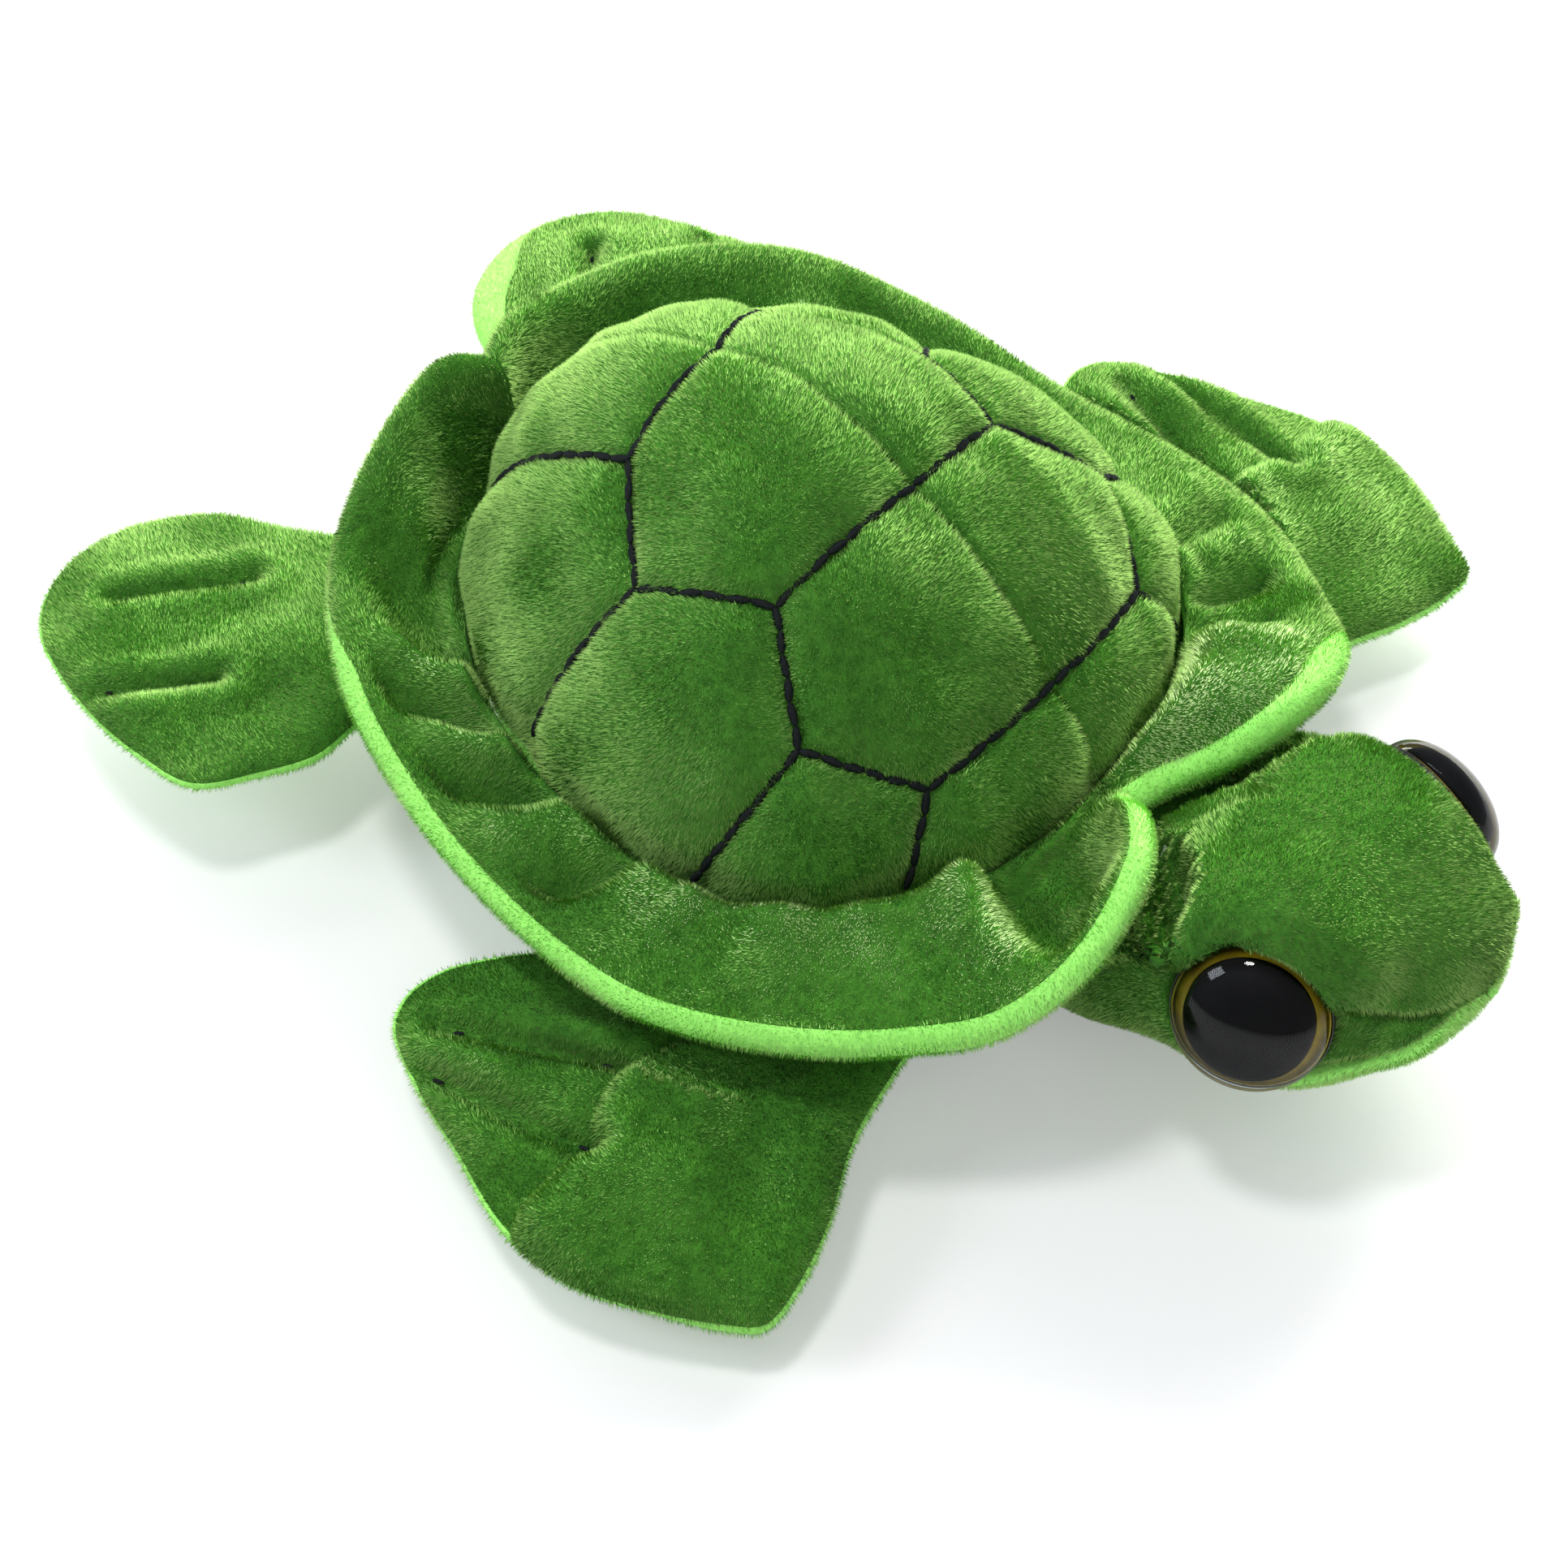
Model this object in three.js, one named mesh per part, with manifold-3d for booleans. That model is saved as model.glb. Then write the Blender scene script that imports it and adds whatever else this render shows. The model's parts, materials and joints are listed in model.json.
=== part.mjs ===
// A stuffed sea turtle in short pile fabric, lying on its belly with its head towards -Y.
// Lengths are in millimetres, +Z is up, and the origin is on the flat underside of the belly.
import * as THREE from 'three';
import { mergeVertices } from 'three/addons/utils/BufferGeometryUtils.js';
import Module from 'manifold-3d';

const wasm = await Module();
wasm.setup();

// Fabric and fits
const skin = 1.8; // pile fabric lying flat, backing and pile together
const gap = 0.3; // kept between pieces that touch in the sewn toy
const swingGap = 0.5; // kept between a limb's root and the body through its swing
const threadWidth = 2.2; // embroidered lines on the shell
const threadHeight = 1;
const stitchWidth = 1.1; // sewn lines on the flippers
const headSlack = 0.3; // further room between the head's panels and its stuffing
const weldDistance = 0.0001;

// Shell and belly
const shellLength = 125.3;
const shellWidth = 117.4;
const domeHeight = 53;
const seamHeight = 33; // the seam between dome, rim and belly, above the floor
const restCut = 0.5; // depth by which the belly's round underside is cut flat
const shellFrontY = -shellLength / 2;
const widestShare = 0.306; // widest place of the shell, from its front, over its length
const crownLeanShare = 0.196; // how far back of the widest place the crown stands
const bellyLeanShare = 0.16;
const domePower = 0.71;
const bellyPower = 4;

// Rim flange round the shell
const rimReach = 26;
const rimLift = 30; // rise of the tallest turned-up lobe over the seam
const rimTopThickness = 2.6;
const rimUnderThickness = 3.1;
const rimValley = 3.2;
const rimCurl = 1.7;
// Each row: degrees from the front, then reach and lift for the right and for the left side,
// as shares of rimReach and rimLift.
const rimShares = [
  [0, 0.12, 0.07, 0.12, 0.07],
  [6, 0.28, 0.33, 0.26, 0.13],
  [12, 0.58, 0.64, 0.52, 0.25],
  [20, 0.94, 0.76, 0.84, 0.52],
  [30, 1.14, 0.5, 0.93, 0.5],
  [40, 1.13, 0.22, 0.88, 0.32],
  [50, 1.0, 0.12, 0.86, 0.13],
  [70, 0.86, 0.08, 0.82, 0.03],
  [90, 0.82, 0.05, 0.86, 0.0],
  [105, 0.78, 0.08, 0.9, 0.1],
  [120, 0.76, 0.15, 0.92, 0.42],
  [135, 0.78, 0.27, 0.98, 0.68],
  [150, 0.7, 0.46, 0.84, 0.78],
  [165, 0.4, 0.84, 0.5, 0.84],
  [174, 0.26, 0.96, 0.3, 0.9],
  [180, 0.12, 0.86, 0.12, 0.86],
];

// Head, as stations from the neck to the nose
const headLength = 80;
const headWidth = 63;
const headHeight = 47;
const headReach = 72.3; // from the shell's front edge to the nose
const headCentreHeight = 30;
// Each row: distance back from the nose over headLength, half width over headWidth,
// top and underside over headHeight from the centre height.
const headShares = [
  [0, 0.0, 0.07, 0.07],
  [0.03, 0.2, 0.24, -0.12],
  [0.12, 0.35, 0.36, -0.29],
  [0.23, 0.45, 0.44, -0.42],
  [0.35, 0.495, 0.48, -0.48],
  [0.5, 0.515, 0.42, -0.5],
  [0.65, 0.52, 0.22, -0.52],
  [0.77, 0.49, 0.0, -0.52],
  [0.88, 0.43, -0.1, -0.5],
  [1, 0.36, -0.15, -0.45],
];
const neckCentreShare = -0.25; // middle of the neck's end from the centre height, over headHeight
const crownEdgeDegrees = 70; // seam between crown and side panel, from the top
const chinEdgeDegrees = 126; // seam between side panel and chin, from the top
const nodDownDegrees = 10;
const nodUpDegrees = 8;
const neckInside = 2.6; // the nod's axis, back from the shell's front edge
const neckHeight = 19;

// Safety eyes
const eyeDiameter = 25.5;
const eyeDomeHeight = 7;
const eyeBackThickness = 1;
const irisThickness = 0.8;
const pupilDiameter = 20.8;
const eyePostDiameter = 5;
const eyePostLength = 11;
const washerDiameter = 16;
const washerThickness = 1.5;
const eyeAside = 25.4; // middle of the eye's seat from the head's middle
const eyeBehindNose = 27.2;
const eyeRise = 3.8; // over the head's centre height
const eyeFacingShares = [0.89, -0.3, 0.34];

// Flippers: places are along the arm and across it (towards the tail), over the length. The form
// thins towards its tip, whose direction tipShares gives, to thinShare of the thickness.
const flipperPower = 3;
const frontRoot = { inside: 8.7, behindFront: 22.6, height: 16 };
const hindRoot = { aside: 24, beforeRear: 9.6, height: 17 };
const frontFlipper = {
  length: 66,
  thickness: 15,
  thinShare: 0.62,
  tipShares: [0, 1],
  hinge: {
    x: shellWidth / 2 - frontRoot.inside,
    y: shellFrontY + frontRoot.behindFront,
    z: frontRoot.height,
  },
  yawDegrees: 32.7,
  swingDegrees: { down: 4, up: 12 },
  droopDegrees: { right: 6, left: 3 },
  twistDegrees: { right: -1, left: 11 },
  centreShares: [0.4, 0.26],
  stitchShares: [[0.25, 0.84, 0.35, 0.38], [0.38, 0.86, 0.59, 0.41]],
  outlineShares: [
    [-0.13, 0.0], [-0.11, -0.22], [0.05, -0.36], [0.28, -0.27], [0.48, -0.19], [0.71, -0.15],
    [0.87, -0.1], [0.98, -0.03], [0.99, 0.06], [0.96, 0.24], [0.91, 0.43], [0.79, 0.61], [0.59, 0.76],
    [0.37, 0.92], [0.24, 0.98], [0.14, 0.96], [0.06, 0.88], [0.01, 0.75], [-0.02, 0.58], [-0.04, 0.42],
    [-0.1, 0.22],
  ],
};
const hindFlipper = {
  length: 81,
  thickness: 13,
  thinShare: 0.6,
  tipShares: [1, 0],
  hinge: {
    x: hindRoot.aside,
    y: shellFrontY + shellLength - hindRoot.beforeRear,
    z: hindRoot.height,
  },
  yawDegrees: -48.6,
  swingDegrees: { down: 8, up: 12 },
  droopDegrees: { right: -5, left: -8 },
  twistDegrees: { right: 0, left: 0 },
  centreShares: [0.5, -0.06],
  stitchShares: [[0.52, 0.12, 0.81, 0.05], [0.57, -0.21, 0.82, -0.24]],
  outlineShares: [
    [-0.08, 0], [-0.06, 0.13], [0.06, 0.22], [0.28, 0.29], [0.46, 0.34], [0.61, 0.38],
    [0.74, 0.37], [0.87, 0.3], [0.95, 0.2], [0.99, 0.06], [0.98, -0.05], [0.94, -0.14],
    [0.85, -0.28], [0.73, -0.41], [0.6, -0.5], [0.45, -0.46], [0.34, -0.41], [0.22, -0.27], [0.06, -0.27],
    [-0.05, -0.16],
  ],
};

// Scute pattern on the dome: places across and along the shell, over its half width and half lengths
const scuteShares = {
  spineRear: [0, 0.2], spineMiddle: [0, -0.49], spineFront: [0, -0.9],
  hexRear: [0.41, 0.24], hexSide: [0.66, 0.15], hexMiddle: [0.49, -0.34],
  frontSide: [0.71, -0.44], hexFront: [0.5, -0.77],
  rearBase: [0.3, 0.93], sideRearBase: [0.88, 0.46], sideFrontBase: [1, 0], frontBase: [0.66, -0.75],
};
const scuteLines = [
  ['spineRear', 'hexRear'], ['hexRear', 'rearBase'], ['hexRear', 'hexSide'], ['hexSide', 'sideRearBase'],
  ['hexSide', 'hexMiddle'], ['hexMiddle', 'spineMiddle'], ['hexMiddle', 'frontSide'],
  ['frontSide', 'sideFrontBase'], ['frontSide', 'hexFront'], ['hexFront', 'spineFront'],
  ['hexFront', 'frontBase'],
];

// Facet counts
const turns = 32;
const domeRings = 6;
const bellyRings = 5;
const rimSteps = 22;
const rimRings = 3;
const headTurns = 26;
const headRings = 10;
const stationCrowding = 1.5;
const flipperTurns = 22;
const flipperRings = 3;
const roundSteps = 20;
const lensRings = 6;

const widestY = shellFrontY + widestShare * shellLength;
const frontLength = widestShare * shellLength;
const rearLength = shellLength - frontLength;
const crownLean = crownLeanShare * shellLength;
const bellyLean = bellyLeanShare * shellLength;
const bellyDepth = seamHeight + restCut;
const stuffingInset = skin + gap;
const headFrontY = shellFrontY - headReach;
const neckPivot = { y: shellFrontY + neckInside, z: neckHeight };
const degrees = THREE.MathUtils.degToRad;

const paints = {
  dome: { color: '#56803c', roughness: 0.95, metalness: 0 },
  rim: { color: '#3f7330', roughness: 0.95, metalness: 0 },
  lime: { color: '#7fe25f', roughness: 0.95, metalness: 0 },
  stuffing: { color: '#f2f1ec', roughness: 1, metalness: 0 },
  thread: { color: '#121a1a', roughness: 0.7, metalness: 0 },
  lens: { color: '#15181c', roughness: 0.05, metalness: 0 },
  iris: { color: '#b98a1d', roughness: 0.35, metalness: 0.2 },
  black: { color: '#060606', roughness: 0.3, metalness: 0 },
};

// Welds a list of triangles into a closed geometry with its faces pointing out.
function closedGeometry(triangles) {
  const numbers = triangles.flatMap((p) => [p.x, p.y, p.z]);
  const loose = new THREE.BufferGeometry();
  loose.setAttribute('position', new THREE.Float32BufferAttribute(numbers, 3));
  const welded = mergeVertices(loose, weldDistance);
  const kept = [];
  for (let i = 0; i < welded.index.count; i += 3) {
    const [a, b, c] = [0, 1, 2].map((k) => welded.index.getX(i + k));
    if (a !== b && b !== c && c !== a) kept.push(a, b, c);
  }
  welded.setIndex(kept);
  if (signedVolume(welded) < 0) welded.setIndex(kept.reverse());
  return welded;
}

function signedVolume(geometry) {
  const { position } = geometry.attributes;
  const at = (i) => new THREE.Vector3().fromBufferAttribute(position, geometry.index.getX(i));
  let total = 0;
  for (let i = 0; i < geometry.index.count; i += 3) total += at(i).dot(at(i + 1).cross(at(i + 2)));
  return total;
}

// Rows and columns of points, point(u, v), as triangles.
function sheet(point, columns, rows) {
  const triangles = [];
  for (let i = 0; i < columns; i += 1) {
    for (let j = 0; j < rows; j += 1) {
      const corner = (di, dj) => point((i + di) / columns, (j + dj) / rows);
      triangles.push(corner(0, 0), corner(1, 0), corner(1, 1), corner(0, 0), corner(1, 1), corner(0, 1));
    }
  }
  return triangles;
}

// A wall between an outer and an inner sheet, closed round its edges.
function walledSheet(outer, inner, columns, rows, ring = false) {
  const between = (edge, steps) => sheet((t, w) => (w ? edge(inner, t) : edge(outer, t)), steps, 1);
  const triangles = [
    ...sheet(outer, columns, rows),
    ...sheet((u, v) => inner(u, v), columns, rows).reverse(),
    ...between((side, t) => side(t, 0), columns).reverse(),
    ...between((side, t) => side(t, 1), columns),
  ];
  if (!ring) {
    triangles.push(...between((side, t) => side(0, t), rows));
    triangles.push(...between((side, t) => side(1, t), rows).reverse());
  }
  return closedGeometry(triangles);
}

function toSolid(geometry) {
  const mesh = new wasm.Mesh({
    numProp: 3,
    vertProperties: new Float32Array(geometry.attributes.position.array),
    triVerts: new Uint32Array(geometry.index.array),
  });
  return new wasm.Manifold(mesh);
}

function fromSolid(solid) {
  const mesh = solid.getMesh();
  const geometry = new THREE.BufferGeometry();
  geometry.setAttribute('position', new THREE.BufferAttribute(new Float32Array(mesh.vertProperties), 3));
  geometry.setIndex([...mesh.triVerts]);
  return geometry;
}

function carve(geometry, cutters) {
  return fromSolid(cutters.reduce((solid, cutter) => solid.subtract(cutter), toSolid(geometry)));
}

function moved(geometry, matrix) {
  return geometry.clone().applyMatrix4(matrix);
}

function piece(name, geometry, paint) {
  geometry.computeVertexNormals();
  const mesh = new THREE.Mesh(geometry, new THREE.MeshStandardMaterial(paints[paint]));
  mesh.name = name;
  return mesh;
}

// Shell surfaces. Angles run from the front (-Y); an inset moves a surface inwards.
function shellPoint(angle, share, lean, height, inset) {
  const reach = (Math.cos(angle) > 0 ? frontLength : rearLength) - inset;
  const x = Math.sin(angle) * (shellWidth / 2 - inset) * share;
  return new THREE.Vector3(x, widestY + lean - Math.cos(angle) * reach * share, height);
}

function domePoint(angle, share, inset) {
  const inside = Math.max(1 - share * share, 0);
  const height = seamHeight + (domeHeight - inset) * inside ** domePower;
  return shellPoint(angle, share, crownLean * inside, height, inset);
}

function bellyPoint(angle, share, inset) {
  const inside = 1 - share * share;
  const drop = Math.sqrt(1 - share ** bellyPower);
  const height = Math.max(seamHeight - (bellyDepth - inset) * drop, inset);
  return shellPoint(angle, share, bellyLean * inside, height, inset);
}

const ringShare = (v) => Math.sin((v * Math.PI) / 2);
const shift = (point, x, y, z) => new THREE.Vector3(point.x + x, point.y + y, point.z + z);

function shellPanels() {
  const half = (side, inset) => (u, v) => {
    const point = domePoint(side * u * Math.PI, ringShare(v), inset);
    return shift(point, (side * gap) / 2, 0, gap / 2);
  };
  const belly = (inset) => (u, v) => {
    const point = bellyPoint(2 * Math.PI * u, ringShare(v), inset);
    return point.setZ(Math.max(point.z - gap / 2, inset));
  };
  const panels = [[1, 'left'], [-1, 'right']].map(([side, name]) => {
    const geometry = walledSheet(half(side, 0), half(side, skin), turns / 2, domeRings);
    return piece(`shell_panel_${name}`, geometry, 'dome');
  });
  panels.push(piece('belly_panel', walledSheet(belly(0), belly(skin), turns, bellyRings, true), 'lime'));
  return panels;
}

// The whole body as one closed form, from the belly's middle over the seam to the crown.
function bodyForm(inset) {
  const surface = (u, v) => {
    const angle = 2 * Math.PI * u;
    const rows = bellyRings + domeRings;
    const row = Math.round(v * rows);
    if (row < bellyRings) return bellyPoint(angle, ringShare(row / bellyRings), inset);
    return domePoint(angle, ringShare((rows - row) / domeRings), inset);
  };
  return closedGeometry(sheet(surface, turns, bellyRings + domeRings));
}

function smoothRow(table, key, column) {
  let i = 0;
  while (i < table.length - 2 && table[i + 1][0] <= key) i += 1;
  const row = (k) => table[Math.min(Math.max(k, 0), table.length - 1)];
  const t = (key - row(i)[0]) / (row(i + 1)[0] - row(i)[0]);
  const slope = (k) => {
    const span = row(k + 1)[0] - row(k - 1)[0];
    return (row(k + 1)[column] - row(k - 1)[column]) / span;
  };
  const span = row(i + 1)[0] - row(i)[0];
  const [a, b] = [row(i)[column], row(i + 1)[column]];
  const [da, db] = [slope(i) * span, slope(i + 1) * span];
  return a + t * da + t * t * (3 * (b - a) - 2 * da - db) + t * t * t * (2 * (a - b) + da + db);
}

// A point of the rim: its section starts at the seam, dips, and turns up to its edge, and goes on
// past the edge by the length beyond.
function rimPoint(side, angle, across, depth, beyond = 0) {
  const column = side < 0 ? 1 : 3;
  const reach = rimReach * smoothRow(rimShares, THREE.MathUtils.radToDeg(angle), column);
  const lift = rimLift * smoothRow(rimShares, THREE.MathUtils.radToDeg(angle), column + 1);
  const valley = rimValley * Math.min(reach / rimReach, 1);
  const place = across + beyond / Math.hypot(reach, lift);
  const slope = lift * rimCurl * place ** (rimCurl - 1) - valley * Math.PI * Math.cos(Math.PI * place);
  const rise = lift * place ** rimCurl - valley * Math.sin(Math.PI * place);
  const length = Math.hypot(reach, slope);
  const out = gap + place * (reach + (depth * slope) / length);
  const base = domePoint(angle, 1, 0);
  const reachY = Math.cos(angle) > 0 ? frontLength : rearLength;
  const normal = new THREE.Vector2((2 * Math.sin(angle)) / shellWidth, -Math.cos(angle) / reachY);
  normal.normalize();
  return new THREE.Vector3(
    side * (base.x + normal.x * out + gap / 2),
    base.y + normal.y * out,
    seamHeight + rise - (depth * reach) / length,
  );
}

function rimPieces() {
  const underTop = rimTopThickness + gap;
  return [[1, 'left'], [-1, 'right']].flatMap(([side, name]) => {
    const layer = (depth) => (u, v) => rimPoint(side, u * Math.PI, v, depth);
    const top = walledSheet(layer(0), layer(rimTopThickness), rimSteps, rimRings);
    const underside = walledSheet(layer(underTop), layer(underTop + rimUnderThickness), rimSteps, rimRings);
    return [piece(`rim_top_${name}`, top, 'rim'), piece(`rim_underside_${name}`, underside, 'lime')];
  });
}

// Embroidered lines between the scutes: a thin layer over the dome, kept only along each line.
function scuteEmbroidery() {
  const layer = (inset) => (u, v) => {
    const point = domePoint(2 * Math.PI * u, ringShare(v), inset);
    return shift(point, 0, 0, gap + threadHeight);
  };
  const cover = toSolid(walledSheet(layer(-gap - threadHeight), layer(-gap), turns, domeRings, true));
  const place = (name, side) => {
    const [across, along] = scuteShares[name];
    const inside = Math.max(1 - across * across - along * along, 0);
    const reach = along < 0 ? frontLength : rearLength;
    return new THREE.Vector2((side * across * shellWidth) / 2, widestY + crownLean * inside + along * reach);
  };
  const tall = seamHeight + domeHeight;
  const walls = [1, -1].flatMap((side) => scuteLines.map(([from, to]) => {
    const [start, end] = [place(from, side), place(to, side)];
    const wall = new THREE.BoxGeometry(start.distanceTo(end) + threadWidth, threadWidth, 2 * tall);
    const turn = new THREE.Matrix4().makeRotationZ(Math.atan2(end.y - start.y, end.x - start.x));
    turn.setPosition((start.x + end.x) / 2, (start.y + end.y) / 2, tall);
    return boxSolid(moved(wall, turn));
  }));
  const lines = walls.reduce((all, wall) => all.add(wall));
  return piece('scute_embroidery', fromSolid(cover.intersect(lines)), 'thread');
}

function boxSolid(geometry) {
  geometry.deleteAttribute('normal');
  geometry.deleteAttribute('uv');
  return toSolid(mergeVertices(geometry, weldDistance));
}

// Head surface: a section of height and width at each station, flattened where the eyes sit.
function facing(side) {
  const [across, along, up] = eyeFacingShares;
  return new THREE.Vector3(side * across, along, up).normalize();
}

const seatPoint = (side) => (
  new THREE.Vector3(side * eyeAside, headFrontY + eyeBehindNose, headCentreHeight + eyeRise)
);

function headPoint(angle, back, inset) {
  const stretch = (headLength - inset) / headLength;
  const halfWidth = Math.max(headWidth * smoothRow(headShares, back, 1) - inset, 0);
  const top = headHeight * smoothRow(headShares, back, 2);
  const under = headHeight * smoothRow(headShares, back, 3);
  const halfHeight = Math.max((top - under) / 2 - inset, 0);
  const open = halfHeight > 0 && halfWidth > 0 ? 1 : 0;
  const point = new THREE.Vector3(
    Math.sin(angle) * halfWidth * open,
    headFrontY + headLength - headLength * stretch * (1 - back),
    headCentreHeight + (top + under) / 2 + Math.cos(angle) * halfHeight * open,
  );
  [1, -1].forEach((side) => {
    const proud = point.clone().sub(seatPoint(side)).dot(facing(side)) + inset;
    if (proud > 0) point.addScaledVector(facing(side), -proud);
  });
  return point;
}

// Stations crowd towards the nose, where the head rounds over.
const stationShare = (v) => v ** stationCrowding;

function neckTurn(nod) {
  const matrix = new THREE.Matrix4().makeTranslation(0, neckPivot.y, neckPivot.z);
  matrix.multiply(new THREE.Matrix4().makeRotationX(degrees(nod)));
  return matrix.multiply(new THREE.Matrix4().makeTranslation(0, -neckPivot.y, -neckPivot.z));
}

// The body with the swing gap round it. The rim has one more ring here, past its edge.
function bodyCutter() {
  const rows = rimRings + 1;
  const rimForm = (side) => {
    const layer = (depth) => (u, v) => {
      if (v === 1) return rimPoint(side, u * Math.PI, 1, depth, swingGap);
      return rimPoint(side, u * Math.PI, (v * rows) / rimRings, depth);
    };
    const whole = rimTopThickness + gap + rimUnderThickness;
    return toSolid(walledSheet(layer(-swingGap), layer(whole + swingGap), rimSteps, rows));
  };
  return toSolid(bodyForm(-swingGap)).add(rimForm(1)).add(rimForm(-1));
}

// The turns that a swing is cut out at: both limits, the rest place and half way to each limit.
function swingTurns(down, up) {
  return [-down, -down / 2, 0, up / 2, up];
}

function eyeTool(side, radius, from, to) {
  const rod = new THREE.CylinderGeometry(radius, radius, to - from, roundSteps);
  rod.translate(0, (from + to) / 2, 0);
  return boxSolid(moved(rod, eyeFrame(side)));
}

function eyeFrame(side) {
  const turn = new THREE.Quaternion().setFromUnitVectors(new THREE.Vector3(0, 1, 0), facing(side));
  return new THREE.Matrix4().compose(seatPoint(side), turn, new THREE.Vector3(1, 1, 1));
}

// Pockets that a piece of the head leaves for both eyes: the post, and below it the washer.
function eyePockets(postFrom, washerFrom) {
  const sides = [1, -1];
  const posts = sides.map((side) => eyeTool(side, eyePostDiameter / 2 + gap, postFrom, skin));
  if (washerFrom === undefined) return posts;
  return [...posts, ...sides.map((side) => eyeTool(side, washerDiameter / 2 + gap, washerFrom, skin))];
}

// A panel of the head between two angles from the top, moved off its neighbours by half a gap.
function headPanel(from, to, aside, up, cut) {
  const surface = (inset) => (u, v) => {
    const point = headPoint(degrees(THREE.MathUtils.lerp(from, to, u)), stationShare(v), inset);
    return shift(point, (aside * gap) / 2, 0, (up * gap) / 2);
  };
  const steps = Math.round((headTurns * (to - from)) / 360);
  return carve(walledSheet(surface(0), surface(skin), steps, headRings), cut);
}

function headStuffing(cut) {
  const inset = stuffingInset + headSlack;
  const surface = (u, v) => headPoint(2 * Math.PI * u, stationShare(v), inset);
  const neckEnd = (u, v) => {
    const edge = headPoint(2 * Math.PI * u, 1, inset);
    const middle = headCentreHeight + neckCentreShare * headHeight;
    return edge.lerp(new THREE.Vector3(0, edge.y, middle), v);
  };
  const form = [...sheet(surface, headTurns, headRings), ...sheet(neckEnd, headTurns, 1)];
  return carve(closedGeometry(form), cut);
}

function headPieces(cutter) {
  const nods = swingTurns(nodDownDegrees, nodUpDegrees);
  const body = nods.map((nod) => cutter.transform([...neckTurn(nod).elements]));
  const panelCut = [...body, ...eyePockets(-eyePostLength)];
  const stuffingCut = [...body, ...eyePockets(-eyePostLength - gap, -stuffingInset - washerThickness - gap)];
  const seamDegrees = THREE.MathUtils.radToDeg(gap / headWidth);
  const crownSide = crownEdgeDegrees + seamDegrees;
  const chinSide = chinEdgeDegrees + seamDegrees;
  return [
    piece('head_crown', headPanel(-crownEdgeDegrees, crownEdgeDegrees, 0, 1, panelCut), 'rim'),
    piece('head_side_left', headPanel(crownSide, chinEdgeDegrees, 1, 0, panelCut), 'rim'),
    piece('head_side_right', headPanel(-chinEdgeDegrees, -crownSide, -1, 0, panelCut), 'rim'),
    piece('head_chin', headPanel(chinSide, 360 - chinSide, 0, -1, panelCut), 'lime'),
    piece('head_stuffing', headStuffing(stuffingCut), 'stuffing'),
  ];
}

// A turned piece of an eye, from its profile of radius and height; the seat is at height zero.
function turnedPiece(name, profile, paint) {
  const points = profile.map(([radius, height]) => new THREE.Vector2(radius, height));
  const turned = new THREE.LatheGeometry(points, roundSteps);
  const corners = [...turned.index.array].map((i) => (
    new THREE.Vector3().fromBufferAttribute(turned.attributes.position, i)
  ));
  return piece(name, closedGeometry(corners), paint);
}

// One safety eye: clear dome, gold iris ring, black pupil disc, black back with its post, lock washer.
function eye(side, name) {
  const radius = eyeDiameter / 2;
  const postRadius = eyePostDiameter / 2;
  const pupilRadius = pupilDiameter / 2;
  const backTop = gap + eyeBackThickness;
  const irisBase = backTop + gap;
  const irisTop = irisBase + irisThickness;
  const lensBase = irisTop + gap;
  const dome = Array.from({ length: lensRings }, (_, i) => {
    const turn = ((i / lensRings) * Math.PI) / 2;
    return [radius * Math.cos(turn), lensBase + eyeDomeHeight * Math.sin(turn)];
  });
  const lens = [[0, lensBase], ...dome, [0, lensBase + eyeDomeHeight]];
  const irisHole = pupilRadius + gap;
  const iris = [[irisHole, irisBase], [radius, irisBase], [radius, irisTop], [irisHole, irisTop]];
  const pupil = [[0, irisBase], [pupilRadius, irisBase], [pupilRadius, irisTop], [0, irisTop]];
  const back = [
    [0, -eyePostLength], [postRadius, -eyePostLength], [postRadius, gap],
    [radius, gap], [radius, backTop], [0, backTop],
  ];
  const hole = postRadius + gap;
  const edge = washerDiameter / 2;
  const washerTop = -stuffingInset;
  const washerBase = washerTop - washerThickness;
  const washer = [[hole, washerBase], [edge, washerBase], [edge, washerTop], [hole, washerTop]];
  const group = new THREE.Group();
  group.applyMatrix4(eyeFrame(side));
  group.add(
    turnedPiece(`eye_lens_${name}`, lens, 'lens'),
    turnedPiece(`eye_iris_${name}`, [...iris, iris[0]], 'iris'),
    turnedPiece(`eye_pupil_${name}`, pupil, 'black'),
    turnedPiece(`eye_back_${name}`, back, 'black'),
    turnedPiece(`eye_washer_${name}`, [...washer, washer[0]], 'black'),
  );
  return group;
}

// Flipper outline, drawn in by an inset square to its own edge.
function flipperOutline(flipper, side, inset) {
  const places = flipper.outlineShares.map(([along, across]) => (
    new THREE.Vector3(along * flipper.length, side * across * flipper.length, 0)
  ));
  const curve = new THREE.CatmullRomCurve3(places, true);
  const step = 1 / flipperTurns / 2;
  const around = THREE.ShapeUtils.area(places) > 0 ? 1 : -1;
  const wrap = (u) => (u + 1) % 1;
  return (u) => {
    const point = curve.getPoint(wrap(u));
    const tangent = curve.getPoint(wrap(u + step)).sub(curve.getPoint(wrap(u - step))).normalize();
    const inward = new THREE.Vector3(-tangent.y, tangent.x, 0).multiplyScalar(around * inset);
    return point.add(inward);
  };
}

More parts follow.
